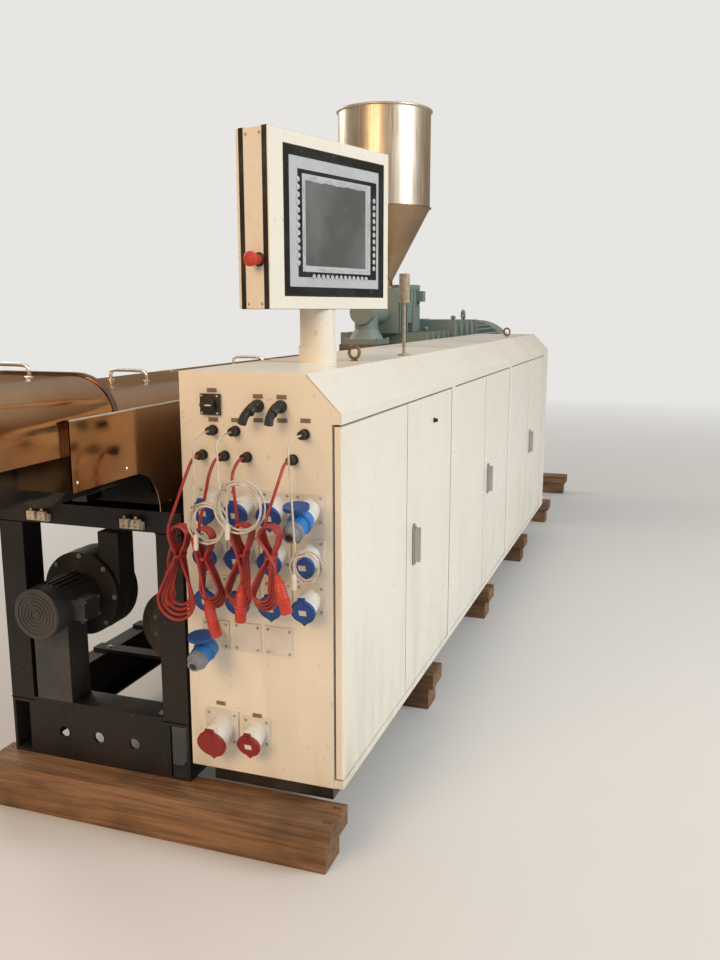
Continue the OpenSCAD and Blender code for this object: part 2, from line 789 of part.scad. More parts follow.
module hood(x0, x1, half_w, z0, z1, r, t) {
    clear_r = barrel_r + band_t + 6;
    difference() {
        along_x(x0, x1 - x0) hood_outline(half_w, z0, z1, r);
        along_x(x0 + t, x1 - x0 - 2 * t) translate([0, -1]) hood_outline(half_w - t, z0, z1 - t + 1, r - t);
        rod_x(x0 - 1, x1 - x0 + 2, axis_y, axis_z, clear_r);
    }
}

// The front hood ends in a flanged rim, the lower rear hood runs on from it
module barrel_hoods() {
    rim = 12;
    half_w = trough_w / 2 - fold - seam;
    z0 = axis_z + 62;
    color("silver") placed() {
        hood(-hood_lead, -hood_joint - rim, half_w, z0, hood_top, hood_r, 2);
        difference() {
            along_x(-hood_joint - rim, rim) hood_outline(half_w, z0, hood_top + 3, hood_r + 3);
            along_x(-hood_joint - rim - 1, rim + 2) translate([0, -1])
                hood_outline(half_w - 14, z0, hood_top - 14, hood_r - 14);
        }
        hood(-hood_joint, guard_end - 3, half_w, z0, hood_top - hood_step, hood_r - 10, 2);
    }
}

blower_x = [post_x[0] + 150, post_x[1] - 130, post_x[2] - 410];
blower_z = 465;
blower_l = 110;
blower_r = 130;
inlet_r = 60;
outlet_up = 195;
blower_motor_l = 210;
blower_motor_r = 72;
blower_y = frame_y1 - post_s - blower_motor_r - 3;
bar_t = 12;
module cooling_blowers() {
    color("#222222") placed() for (x = blower_x) {
        difference() {
            rod_x(x, blower_l, blower_y, blower_z, blower_r);
            rod_x(x + blower_l - 30, 31, blower_y, blower_z, inlet_r);
        }
        block([x + 15, x + blower_l - 15], [blower_y - blower_r, blower_y - inlet_r],
            [blower_z, blower_z + outlet_up]);
    }
}

module blower_motors() {
    color("#333333") placed() for (x = blower_x) {
        rod_x(x - blower_motor_l, blower_motor_l, blower_y, blower_z, blower_motor_r);
        block([x - 150, x - 60], [blower_y - 60, blower_y + 60], [rail_z1 + bar_t, blower_z - 40]);
        block([x - 140, x - 70], [blower_y - 110, blower_y - 50], [blower_z - 30, blower_z + 30]);
    }
}

tank_y = axis_y - 70;
tank_z = 320;
tank_x = 330;
tank_l = 420;
tank_r = 120;
tank_legs = [400, 640];
leg_t = 40;
// Flat bars across the base rails that carry the blowers and the tank
module mounting_bars() {
    z = [rail_z1, rail_z1 + bar_t];
    color("dimgray") placed() {
        block([0, 92], [frame_y0 + post_s, frame_y1 - post_s], z);
        for (x = [blower_x[1] - 152, blower_x[2] - 152]) block([x, x + 94], [frame_y0 + 6, frame_y1 - 6], z);
        for (x = tank_legs) block([x - 4, x + leg_t + 4], [frame_y0 + 6, frame_y1 - 6], z);
    }
}

module vacuum_tank() {
    color("darkseagreen") placed() {
        rod_x(tank_x, tank_l, tank_y, tank_z, tank_r);
        for (x = tank_legs)
            block([x, x + leg_t], [tank_y - 80, tank_y + 80], [rail_z1 + bar_t, tank_z - 75]);
    }
}

box_top = cone_end - 40;
box_half = 100;
gear_top = axis_z + 265;
// Feed throat, screw tube and ribbed box in one casting
module feeder_housing() {
    throat_r = port_r + 15;
    color("darkseagreen") placed() difference() {
        union() {
            translate([port_x, axis_y, port_top]) {
                translate([-95, -95, 0]) cube([190, 190, 25]);
                translate([0, 0, 25]) cylinder(h = 50, r1 = 90, r2 = throat_r);
                cylinder(h = feeder_z - port_top, r = throat_r);
            }
            rod_x(port_x - 90, hopper_x - port_x, axis_y, feeder_z, feeder_r);
            block([hopper_x - box_half, hopper_x + box_half], [axis_y - 95, axis_y + 95],
                [gear_top, box_top]);
            for (i = [0:4]) let(x = hopper_x - box_half + i * (2 * box_half - 14) / 4)
                block([x, x + 14], [axis_y - 110, axis_y + 110], [gear_top, box_top - 15]);
        }
        translate([port_x, axis_y, port_top - 1]) cylinder(h = feeder_z - port_top, r = port_r);
        translate([hopper_x, axis_y, feeder_z]) cylinder(h = 300, r = outlet_r);
    }
}

module feeder_motor() {
    x = hopper_x + 400;
    color("darkgray") placed() {
        block([hopper_x + box_half, x - 70], [axis_y - 70, axis_y + 70], [feeder_z - 60, feeder_z + 60]);
        block([x - 75, x + 75], [axis_y - 75, axis_y + 75], [gear_top, feeder_z + 40]);
        translate([x, axis_y, feeder_z + 40]) cylinder(h = 90, r = 88);
        translate([x, axis_y, feeder_z + 130]) cylinder(h = 24, r = 92);
    }
}

// Upper ring of the hopper with a rolled rim
module hopper_shell() {
    t = hopper_t;
    bead = 6;
    color("lightgray") placed() translate([hopper_x, axis_y, 0]) rotate_extrude() {
        translate([hopper_r - t, cone_top]) square([t, hopper_top - cone_top]);
        translate([hopper_r + bead - t, hopper_top - bead]) circle(bead);
    }
}

// Cone with its outlet neck and flange
module hopper_cone() {
    t = hopper_t;
    color("lightgray") placed() translate([hopper_x, axis_y, 0]) rotate_extrude() polygon([
        [outlet_r, box_top], [outlet_r + 25, box_top], [outlet_r + 25, box_top + 8],
        [outlet_r + t, box_top + 8], [outlet_r + t, cone_end], [hopper_r, cone_top - 4],
        [hopper_r + 8, cone_top - 4], [hopper_r + 8, cone_top], [hopper_r - t, cone_top],
        [outlet_r, cone_end + 1]]);
}

split_half = 230;
split_base = 680;
reducer_half = 250;
reducer_base = 640;
foot = 20;
neck_r = 160;
motor_foot = 315;
motor_feet = [100, 760];
motor_half = frame_w / 2;
foot_w = 120;
foot_y = 230;

module ribbed_case(x0, length, half_w, z0, z1, ribs) {
    block([x0, x0 + length], [axis_y - half_w, axis_y + half_w], [z0, z1 - 20]);
    for (i = [0:ribs]) block([x0 + i * (length - 24) / ribs, x0 + i * (length - 24) / ribs + 24],
        [axis_y - half_w - 18, axis_y + half_w + 18], [z0, z1]);
}

module distribution_gearbox() {
    color("cadetblue") placed() ribbed_case(split_x, split_l, split_half, split_base, gear_top, 4);
}

module reduction_gearbox() {
    color("cadetblue") placed() {
        ribbed_case(reducer_x, reducer_l, reducer_half, reducer_base, reducer_top, 4);
        rod_x(split_x + split_l, neck_l, axis_y, axis_z, neck_r);
    }
}

module coupling_guard() {
    color("dimgray") placed() rod_x(reducer_x + reducer_l, coupling_l, axis_y, axis_z, neck_r - 10);
}

module motor_outline() {
    union() {
        circle(motor_r - 35);
        for (i = [0:rib_count - 1]) rotate(i * 360 / rib_count) translate([0, -5]) square([motor_r, 10]);
    }
}

module main_motor() {
    color("cadetblue") placed() {
        translate([0, axis_y, axis_z]) {
            along_x(motor_x + 40, motor_l - 330) motor_outline();
            rod_x(motor_x, 40, 0, 0, motor_r - 10);
            rod_x(motor_x + motor_l - 290, 290, 0, 0, motor_r - 4);
        }
        for (y = [axis_y - foot_y, axis_y + foot_y])
            block([motor_x + motor_feet[0], motor_x + motor_feet[1]],
                [y - foot_w / 2, y + foot_w / 2], [axis_z - motor_foot, axis_z - foot_y]);
    }
    color("sienna") placed() eye(motor_x + motor_l / 2 - 25, axis_y, axis_z + motor_r - 6, 32, 9);
}

module drive_pedestals() {
    color("dimgray") placed() {
        block([split_x - 2 * foot, split_x + split_l + foot],
            [axis_y - split_half - foot, axis_y + split_half + foot], [rail_z1, split_base]);
        block([reducer_x - foot, reducer_x + reducer_l + foot],
            [axis_y - reducer_half - foot, axis_y + reducer_half + foot], [rail_z1, reducer_base]);
        block([motor_x + motor_feet[0] - 2 * foot, motor_x + motor_feet[1] + 2 * foot],
            [axis_y - motor_half, axis_y + motor_half], [rail_z1, axis_z - motor_foot]);
    }
}

timber_sleepers();
base_side_rails();
base_cross_rails();
frame_posts();
frame_top_rails();
mounting_bars();
cabinet_plinth();
cabinet_floor();
cabinet_back();
front_end_panel();
rear_end_panel();
cabinet_roof();
door_rails();
door_mullions();
hinge_pins();
door(0);  // door_1
door(1);  // door_2
door(2);  // door_3
door(3);  // door_4
door(4);  // door_5
door(5);  // door_6
handle(0);  // handle_1
handle(1);  // handle_2
handle(2);  // handle_3
lifting_eyes();
column_collar();
operator_column();
operator_box();
operator_front();
operator_screen();
emergency_stop();
signal_lamp();
panel_switchgear();
socket_housings();
blue_socket_lids();
red_socket_lids();
blue_plugs();
lead_tubes();
lead_coils();
lead_connectors();
barrel();
heater_bands();
barrel_saddle();
barrel_trough();
barrel_hoods();
cooling_blowers();
blower_motors();
vacuum_tank();
feeder_housing();
feeder_motor();
hopper_shell();
hopper_cone();
distribution_gearbox();
reduction_gearbox();
coupling_guard();
main_motor();
drive_pedestals();
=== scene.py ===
import math

import bmesh
import bpy
from mathutils import Matrix, Vector


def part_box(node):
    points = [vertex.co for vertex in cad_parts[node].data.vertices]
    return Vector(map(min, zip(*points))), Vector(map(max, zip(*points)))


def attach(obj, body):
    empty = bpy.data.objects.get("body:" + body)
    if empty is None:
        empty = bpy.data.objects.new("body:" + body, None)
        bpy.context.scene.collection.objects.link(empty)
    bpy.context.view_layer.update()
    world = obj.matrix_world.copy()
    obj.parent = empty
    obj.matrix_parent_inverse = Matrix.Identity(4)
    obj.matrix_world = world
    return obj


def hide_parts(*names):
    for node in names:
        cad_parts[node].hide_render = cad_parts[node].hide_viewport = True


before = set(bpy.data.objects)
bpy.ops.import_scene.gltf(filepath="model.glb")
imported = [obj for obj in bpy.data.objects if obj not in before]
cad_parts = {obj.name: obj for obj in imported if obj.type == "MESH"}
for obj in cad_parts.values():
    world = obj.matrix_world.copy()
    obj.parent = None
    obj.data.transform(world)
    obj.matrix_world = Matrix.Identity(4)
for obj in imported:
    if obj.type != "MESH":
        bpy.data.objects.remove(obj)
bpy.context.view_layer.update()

# Camera: it stands ahead of the socket panel on the operator's side, a little above the cabinet.
# Its place and turn come from the edges of the socket panel and the long shoulder of the cabinet.
panel_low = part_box("front_end_panel")[0]
corner = Vector((panel_low.x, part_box("door_1")[0].y, panel_low.z))
camera_offset = Vector((-2.062, -0.761, 1.257))
camera_yaw = math.radians(19.085)
camera_pitch = math.radians(-10.745)
focal_pixels = 900.35
frame_height_pixels = 960
sensor_mm = 36
camera_data = bpy.data.cameras.new("camera")
camera_data.sensor_width = sensor_mm
camera_data.lens = focal_pixels / frame_height_pixels * sensor_mm
camera_data.clip_end = 60
camera = bpy.data.objects.new("camera", camera_data)
camera.location = corner + camera_offset
look = Vector((math.cos(camera_yaw) * math.cos(camera_pitch),
               math.sin(camera_yaw) * math.cos(camera_pitch), math.sin(camera_pitch)))
camera.rotation_euler = look.to_track_quat("-Z", "Y").to_euler()
bpy.context.scene.collection.objects.link(camera)
bpy.context.scene.camera = camera

# Leads: silicone cables from the panel's connectors, tied in hanks and round coils that hang before it.
# Each is one curve through the points that the solids follow, then as many turns as its coil holds.
floor_of_shell = 60
connector_out = 26
red_row, white_row = 944, 1010
red_exits, white_exits = [386, 322, 258, 130], [354, 290, 98]
# A hank: distance ahead, its tie across and up, then its lowest turn's middle across and up, and radius.
hanks = [(-120, 394, 704, 404, 585, 56), (-120, 323, 704, 309, 602, 36), (-120, 215, 723, 236, 606, 35),
         (-160, 122, 735, 147, 622, 34)]
# A coil: distance ahead, its middle across and up, and the radius.
coils = [(-158, 292, 803, 46), (-192, 188, 858, 58), (-165, 30, 717, 33)]
# A tail: the side of its hank that it hangs on, its end across and up, and its lean in degrees.
tails = [(1, 452, 650, 0), (-1, 303, 604, 16), (-1, 205, 654, -3), (-1, 93, 701, 16)]
red_diameter, white_diameter = 8, 5
tie_up, hank_top, hank_depth, turns_depth = 52, 24, 42, 32
coil_wire, coil_depth, coil_turns_depth = 8, 30, 24
connector_half, small_half, seam = 15, 6, 0.3
small_out, small_up, neck_up, collar_up = 22, 20, 26, 10
hank_count, coil_count, coil_steps = 4, 3.75, 28
red_bend, white_bend = (-88, 34), (-104, 20)


def at(x, y, z):
    """A point in metres from millimetres along, across and above the cabinet's near lower corner."""
    return corner + Vector((x, y, z - floor_of_shell)) / 1000


def smooth(points, steps):
    """Catmull-Rom points through a route."""
    line = []
    for i in range(len(points) - 1):
        a, b = points[max(i - 1, 0)], points[i]
        c, d = points[i + 1], points[min(i + 2, len(points) - 1)]
        for k in range(steps):
            t = k / steps
            line.append(0.5 * (2 * b + (c - a) * t + (2 * a - 5 * b + 4 * c - d) * t * t
                               + (3 * b - a - 3 * c + d) * t ** 3))
    return line + [points[-1]]


def meet(r, lead_r, outside):
    """Height over a bend's centre where a lead that drops at distance r meets the bend's outside."""
    return math.sqrt(outside ** 2 - (r - 0.8 * lead_r) ** 2)


def hang(y, z, bend_x, bend_z, end):
    """Straight out of the connector, over in a soft bend, then down to the end point."""
    start = Vector((bend_x, y, z - bend_z))
    knee = Vector((bend_x * 0.64, y, z - bend_z * 0.12))
    return [Vector((-connector_out, y, z)), knee] + [start.lerp(end, t / 3) for t in range(4)]


def hank_turns(hank, side, turns, fan, shorter):
    """Turns that narrow at the tie, each in its own plane, from the side that the route ends on."""
    ahead, tie_y, tie_z, low_y, low_z, low_r = hank
    top_z = tie_z + tie_up
    strand, waist, shoulder, shoulder_up, belly_up = 5, 5, 15, 23, 6
    under = [math.radians(a) for a in range(-15, 196, 21)]
    above = [math.pi * k / 8 for k in range(8)]
    loop = []
    for turn in range(turns):
        r = low_r - strand - fan * turn
        low_z += shorter if turn else 0
        belly_z = (tie_z + low_z) / 2 + belly_up
        loop += [(tie_y + hank_top, top_z), (tie_y + shoulder, tie_z + shoulder_up), (tie_y + waist, tie_z),
                 ((tie_y + low_y + waist + r) / 2, belly_z)]
        loop += [(low_y + r * math.cos(a), low_z - r * math.sin(a)) for a in under]
        loop += [((low_y + tie_y - waist - r) / 2, belly_z), (tie_y - waist, tie_z),
                 (tie_y - shoulder, tie_z + shoulder_up)]
        loop += [(tie_y - hank_top * math.cos(a), top_z + hank_top * math.sin(a)) for a in above]
    last = len(loop) - 1
    return [Vector((ahead + side * turns_depth * (k / last - 0.5), *p)) for k, p in enumerate(loop)]


def coil_turns(coil, turns, steps):
    """Round turns that lie beside each other, a little uneven, going down the far side first."""
    ahead, y, z, r = coil
    points = []
    for k in range(int(turns * steps) + 1):
        angle = 2 * math.pi * k / steps
        radius = r + 5 * math.sin(angle * 0.41)
        x = ahead + coil_turns_depth * (0.5 - k / (turns * steps))
        points.append(Vector((x, y + radius * math.cos(angle), z - radius * math.sin(angle))))
    return points


def lead(name, points, diameter, colour_material, body="machine"):
    """One cord: a round tube along the points, which are in millimetres."""
    curve = bpy.data.curves.new(name, "CURVE")
    curve.dimensions = "3D"
    curve.bevel_depth = diameter / 2000
    curve.bevel_resolution = 3
    curve.use_fill_caps = True
    spline = curve.splines.new("POLY")
    places = [at(*p) for p in points]
    spline.points.add(len(places) - 1)
    for point, place in zip(spline.points, places):
        point.co = (*place, 1)
    spline.use_smooth = True
    curve.materials.append(colour_material)
    cable = bpy.data.objects.new(name, curve)
    bpy.context.scene.collection.objects.link(cable)
    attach(cable, body)
    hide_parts("lead_tubes", "lead_coils")
    length = sum((b - a).length for a, b in zip(places, places[1:]))
    return cable, places[0], length


def principled(name, colour, roughness, metallic=0.0, coat=0.0):
    """A new material with its main shader, which later lines may feed with patterns."""
    material = bpy.data.materials.new(name)
    material.use_nodes = True
    shader = material.node_tree.nodes["Principled BSDF"]
    shader.inputs["Base Color"].default_value = (*colour, 1)
    shader.inputs["Roughness"].default_value = roughness
    shader.inputs["Metallic"].default_value = metallic
    shader.inputs["Coat Weight"].default_value = coat
    return material


def new_group(name, inputs, outputs):
    """An empty node group with named float or colour sockets."""
    group = bpy.data.node_groups.new(name, "ShaderNodeTree")
    for label, kind, value in inputs:
        socket = group.interface.new_socket(label, in_out="INPUT", socket_type=kind)
        socket.default_value = value
    for label, kind in outputs:
        group.interface.new_socket(label, in_out="OUTPUT", socket_type=kind)
    return group, group.nodes.new("NodeGroupInput"), group.nodes.new("NodeGroupOutput")


def texture_at(tree, scale_xyz, noise_scale, detail=4.0, distortion=0.0):
    """Noise on the part's own coordinates, stretched by scale_xyz."""
    place = tree.nodes.new("ShaderNodeTexCoord")
    mapping = tree.nodes.new("ShaderNodeMapping")
    mapping.inputs["Scale"].default_value = scale_xyz
    noise = tree.nodes.new("ShaderNodeTexNoise")
    noise.inputs["Scale"].default_value = noise_scale
    noise.inputs["Detail"].default_value = detail
    noise.inputs["Distortion"].default_value = distortion
    tree.links.new(place.outputs["Object"], mapping.inputs["Vector"])
    tree.links.new(mapping.outputs["Vector"], noise.inputs["Vector"])
    return noise


def ramp(tree, source, low, high, low_value=0.0, high_value=1.0):
    """Maps a value from low..high to low_value..high_value, clamped."""
    node = tree.nodes.new("ShaderNodeMapRange")
    node.inputs["From Min"].default_value = low
    node.inputs["From Max"].default_value = high
    node.inputs["To Min"].default_value = low_value
    node.inputs["To Max"].default_value = high_value
    tree.links.new(source, node.inputs["Value"])
    return node.outputs["Result"]


def mix(tree, mask, first, second):
    """Mixes two colours by a mask. A colour is a tuple or a socket."""
    node = tree.nodes.new("ShaderNodeMix")
    node.data_type = "RGBA"
    tree.links.new(mask, node.inputs["Factor"])
    for label, value in (("A", first), ("B", second)):
        socket = [s for s in node.inputs if s.name == label and s.type == "RGBA"][0]
        if isinstance(value, tuple):
            socket.default_value = (*value, 1)
        else:
            tree.links.new(value, socket)
    return [s for s in node.outputs if s.type == "RGBA"][0]


def bump(tree, height, distance, strength=1.0):
    """A normal from a height, for the main shader."""
    node = tree.nodes.new("ShaderNodeBump")
    node.inputs["Distance"].default_value = distance
    node.inputs["Strength"].default_value = strength
    tree.links.new(height, node.inputs["Height"])
    return node.outputs["Normal"]


wear_group, wear_in, wear_out = new_group(
    "wear", [("Patch Size", "NodeSocketFloat", 6.0), ("Speck Size", "NodeSocketFloat", 90.0)],
    [("Patches", "NodeSocketFloat"), ("Specks", "NodeSocketFloat"), ("Grain", "NodeSocketFloat")])
wear_place = wear_group.nodes.new("ShaderNodeTexCoord")
for label, feed, detail, low, high in (("Patches", "Patch Size", 6, 0.42, 0.68),
                                       ("Specks", "Speck Size", 3, 0.66, 0.74)):
    noise = wear_group.nodes.new("ShaderNodeTexNoise")
    noise.inputs["Detail"].default_value = detail
    wear_group.links.new(wear_place.outputs["Object"], noise.inputs["Vector"])
    wear_group.links.new(wear_in.outputs[feed], noise.inputs["Scale"])
    wear_group.links.new(ramp(wear_group, noise.outputs[0], low, high), wear_out.inputs[label])
grain = wear_group.nodes.new("ShaderNodeTexNoise")
grain.inputs["Scale"].default_value = 420
wear_group.links.new(wear_place.outputs["Object"], grain.inputs["Vector"])
wear_group.links.new(grain.outputs[0], wear_out.inputs["Grain"])


def worn(material, base, dusty, marked, patch=6.0, speck=90.0, dust=0.5, marks=0.5, height=0.0004,
         rough=(0.35, 0.6)):
    """Feeds a material with soft dusty patches, small marks, uneven gloss and a fine grain."""
    tree = material.node_tree
    shader = tree.nodes["Principled BSDF"]
    wear = tree.nodes.new("ShaderNodeGroup")
    wear.node_tree = wear_group
    wear.inputs["Patch Size"].default_value = patch
    wear.inputs["Speck Size"].default_value = speck
    patches = ramp(tree, wear.outputs["Patches"], 0, 1, 0, dust)
    specks = ramp(tree, wear.outputs["Specks"], 0, 1, 0, marks)
    colour = mix(tree, specks, mix(tree, patches, base, dusty), marked)
    tree.links.new(colour, shader.inputs["Base Color"])
    tree.links.new(ramp(tree, wear.outputs["Patches"], 0, 1, *rough), shader.inputs["Roughness"])
    tree.links.new(bump(tree, wear.outputs["Grain"], height), shader.inputs["Normal"])
    return material


red_silicone = worn(principled("red_silicone", (0.36, 0.03, 0.022), 0.42), (0.37, 0.026, 0.019),
                    (0.20, 0.02, 0.016), (0.50, 0.10, 0.075), patch=30, dust=0.8, marks=0.3)
white_sleeve = worn(principled("white_sleeve", (0.66, 0.62, 0.54), 0.5), (0.55, 0.52, 0.46),
                    (0.36, 0.33, 0.27), (0.35, 0.3, 0.24), patch=40, dust=0.8, marks=0.5)
red_leads, white_leads = [], []
for number, (y, hank, (side, end_y, end_z, lean)) in enumerate(zip(red_exits, hanks, tails), 1):
    ahead, tie_y, tie_z = hank[:3]
    rise = meet(hank_top, red_diameter / 2, hank_top + red_diameter / 2 + 1)
    landing = Vector((ahead - side * turns_depth / 2, tie_y + hank_top, tie_z + tie_up + rise))
    route = hang(y, red_row, *red_bend, landing)
    fan, shorter = (8, 3) if number == 1 else (1.6, 8)
    turns = hank_turns(hank, side, hank_count, fan, shorter)
    face = ahead + side * (hank_depth + red_diameter) / 2
    end = Vector((ahead + side * (hank_depth / 2 + connector_half + seam), end_y, end_z))
    upward = Vector((0, math.sin(math.radians(lean)), math.cos(math.radians(lean))))
    over = Vector((turns[-1].x + side * 3, tie_y + hank_top, tie_z + tie_up - 6))
    neck = end + neck_up * upward
    middle = (over + neck) / 2
    tail = [turns[-1], over, Vector((face, middle.y, middle.z)), neck, end + collar_up * upward, end]
    points = smooth(route, 5)[:-1] + smooth(turns, 2)[:-1] + smooth(tail, 5)
    red_leads.append(lead(f"red_lead_{number}", points, red_diameter, red_silicone))
for number, (y, coil) in enumerate(zip(white_exits, coils), 1):
    ahead, coil_y, coil_z, r = coil
    rise = meet(r, white_diameter / 2, r + coil_wire)
    route = hang(y, white_row, *white_bend, Vector((ahead + coil_turns_depth / 2, coil_y + r, coil_z + rise)))
    turns = coil_turns(coil, coil_count, coil_steps)
    small_x = ahead - coil_depth / 2 - small_half - seam
    hung = coil_y + small_out
    tail = [turns[-2], turns[-1], Vector((small_x + 5, hung - 6, coil_z + r - 6)),
            Vector((small_x, hung, coil_z + r * 0.45)), Vector((small_x, hung, coil_z - r + small_up))]
    points = smooth(route, 5)[:-1] + turns[:-2] + smooth(tail, 5)
    white_leads.append(lead(f"white_lead_{number}", points, white_diameter, white_sleeve))

# Stage: a plain pale floor and soft studio lamps, with a pale surround that glossy surfaces see too.
# The main lamp stands on the operator's side, as the brighter side of the machine has it.
pale = (0.80, 0.79, 0.77)
floor_size, fade_start, fade_end = 60, 3.5, 11
surround_low, surround_high, surround_strength = (0.33, 0.20, 0.10), (1.0, 0.99, 0.97), 0.68


def combine(tree, operation, first, second):
    """One value from two, such as their product or the larger of them."""
    node = tree.nodes.new("ShaderNodeMath")
    node.operation = operation
    tree.links.new(first, node.inputs[0])
    tree.links.new(second, node.inputs[1])
    return node.outputs[0]


def blend(tree, mask, first, second):
    """One shader that goes over into another by a mask."""
    node = tree.nodes.new("ShaderNodeMixShader")
    for socket, source in zip(node.inputs, (mask, first, second)):
        tree.links.new(source, socket)
    return node.outputs[0]


floor_mesh = bpy.data.meshes.new("floor")
half = floor_size / 2
floor_mesh.from_pydata([(-half, -half, 0), (half, -half, 0), (half, half, 0), (-half, half, 0)], [],
                       [(0, 1, 2, 3)])
floor = bpy.data.objects.new("floor", floor_mesh)
bpy.context.scene.collection.objects.link(floor)
floor_material = principled("floor_paint", (0.62, 0.61, 0.59), 0.7)
tree = floor_material.node_tree
where = tree.nodes.new("ShaderNodeTexCoord")
reach = tree.nodes.new("ShaderNodeVectorMath")
reach.operation = "LENGTH"
tree.links.new(where.outputs["Object"], reach.inputs[0])
path = tree.nodes.new("ShaderNodeLightPath")
distance_mask = ramp(tree, reach.outputs["Value"], fade_start, fade_end)
fade = combine(tree, "MULTIPLY", distance_mask, path.outputs["Is Camera Ray"])
far = tree.nodes.new("ShaderNodeEmission")
far.inputs["Color"].default_value = (*pale, 1)
floor_shader = blend(tree, fade, tree.nodes["Principled BSDF"].outputs[0], far.outputs[0])
tree.links.new(floor_shader, tree.nodes["Material Output"].inputs["Surface"])
floor_mesh.materials.append(floor_material)

world = bpy.data.worlds.new("surround")
bpy.context.scene.world = world
world.use_nodes = True
tree = world.node_tree
back = tree.nodes["Background"]
back.inputs["Strength"].default_value = surround_strength
heading = tree.nodes.new("ShaderNodeTexCoord")
split = tree.nodes.new("ShaderNodeSeparateXYZ")
tree.links.new(heading.outputs["Generated"], split.inputs[0])
height_mask = ramp(tree, split.outputs["Z"], 0.12, 0.72)
tree.links.new(mix(tree, height_mask, surround_low, surround_high), back.inputs["Color"])
seen = tree.nodes.new("ShaderNodeBackground")
seen.inputs["Color"].default_value = (*pale, 1)
seen.inputs["Strength"].default_value = 1.0
path = tree.nodes.new("ShaderNodeLightPath")
either = combine(tree, "MAXIMUM", path.outputs["Is Camera Ray"], path.outputs["Is Transmission Ray"])
world_shader = blend(tree, either, back.outputs[0], seen.outputs[0])
tree.links.new(world_shader, tree.nodes["World Output"].inputs["Surface"])
bpy.context.scene.view_settings.view_transform = "Standard"

for name, place, aim, tint, size, power in (
        ("main_lamp", (-1.6, -6.8, 5.0), (-0.4, 0, 1.0), (0.93, 0.97, 1.0), 3.5, 420),
        ("warm_lamp", (-7.0, 1.0, 3.2), (-2.0, 0.1, 0.9), (1.0, 0.64, 0.34), 2.6, 165),
        ("rear_lamp", (3.0, 7.0, 5.0), (1.0, 0, 1.0), (1.0, 0.95, 0.88), 3.0, 180)):
    lamp = bpy.data.lights.new(name, "AREA")
    lamp.color = tint
    lamp.size = size
    lamp.energy = power
    stand = bpy.data.objects.new(name, lamp)
    stand.location = place
    stand.rotation_euler = (Vector(aim) - Vector(place)).to_track_quat("-Z", "Y").to_euler()
    bpy.context.scene.collection.objects.link(stand)

# Timbers: rough-sawn orange-brown softwood, planks nailed across narrower beams.
# The grain runs across the machine, and the sawn faces are dark where they have been handled.


def dress(material, *names):
    """Gives CAD nodes whose shape is right their finished material."""
    for name in names:
        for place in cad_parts[name].material_slots:
            place.material = material


to_machine = Matrix.Translation(corner - Vector((0, 0, floor_of_shell / 1000))) @ Matrix.Scale(0.001, 4)


def make(name, mesh, material, place=to_machine, body="machine", rounded=0.0, stands_for=()):
    """Finishes a piece drawn in millimetres in the frame that place gives, with its edges rounded."""
    bmesh.ops.recalc_face_normals(mesh, faces=mesh.faces)
    mesh.transform(place)
    data = bpy.data.meshes.new(name)
    mesh.to_mesh(data)
    mesh.free()
    data.materials.append(material)
    for face in data.polygons:
        face.use_smooth = True
    data.set_sharp_from_angle(angle=math.radians(35))
    piece = bpy.data.objects.new(name, data)
    bpy.context.scene.collection.objects.link(piece)
    if rounded:
        modifier = piece.modifiers.new("rounded", "BEVEL")
        modifier.width = rounded / 1000
        modifier.segments = 2
        modifier.limit_method = "ANGLE"
        modifier.angle_limit = math.radians(50)
    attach(piece, body)
    if stands_for:
        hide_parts(*stands_for)
    return piece


def skin(mesh, rings):
    """Faces that join closed rings of points, each to the next."""
    for low, high in zip(rings, rings[1:]):
        for k in range(len(low)):
            n = (k + 1) % len(low)
            mesh.faces.new((low[k], low[n], high[n], high[k]))


def lathe(mesh, profile, foot=(0, 0, 0), axis=(0, 0, 1), sides=24, turn=Matrix.Identity(4)):
    """A turned body: profile lists the height along the axis and the radius there."""
    facing = Vector(axis).to_track_quat("Z", "Y").to_matrix()
    rings = []
    for height, radius in profile:
        angles = [2 * math.pi * k / sides for k in range(sides)]
        points = [facing @ Vector((radius * math.cos(a), radius * math.sin(a), height)) for a in angles]
        rings.append([mesh.verts.new(turn @ (Vector(foot) + p)) for p in points])
    skin(mesh, rings)
    mesh.faces.new(rings[0])
    mesh.faces.new(rings[-1])


timber = principled("sawn_timber", (0.5, 0.28, 0.12), 0.75)
tree = timber.node_tree
shader = tree.nodes["Principled BSDF"]
rings = texture_at(tree, (9, 0.7, 12), 3.2, 6, 1.4)
fibres = texture_at(tree, (60, 1.6, 60), 4.0, 3)
stains = texture_at(tree, (1, 1, 1), 3.4, 5)
wood_colour = mix(tree, ramp(tree, rings.outputs[0], 0.38, 0.66), (0.27, 0.142, 0.062), (0.13, 0.065, 0.028))
wood_colour = mix(tree, ramp(tree, fibres.outputs[0], 0.45, 0.75, 0, 0.45), wood_colour, (0.36, 0.21, 0.105))
wood_colour = mix(tree, ramp(tree, stains.outputs[0], 0.46, 0.70, 0, 0.85), wood_colour,
                  (0.045, 0.028, 0.018))
tree.links.new(wood_colour, shader.inputs["Base Color"])
tree.links.new(ramp(tree, stains.outputs[0], 0.3, 0.7, 0.6, 0.85), shader.inputs["Roughness"])
tree.links.new(bump(tree, fibres.outputs[0], 0.003), shader.inputs["Normal"])
dress(timber, "timber_sleepers")
rusted = worn(principled("rusted_iron", (0.12, 0.08, 0.06), 0.6, metallic=0.6), (0.12, 0.08, 0.06),
              (0.22, 0.10, 0.05), (0.05, 0.04, 0.035), patch=40, dust=0.8)
timber_start, timber_count, timber_pitch, timber_width = -95, 6, 1051, 130
nail_rows, nail_inset = (14, 26, 1010, 1084), 28
mesh = bmesh.new()
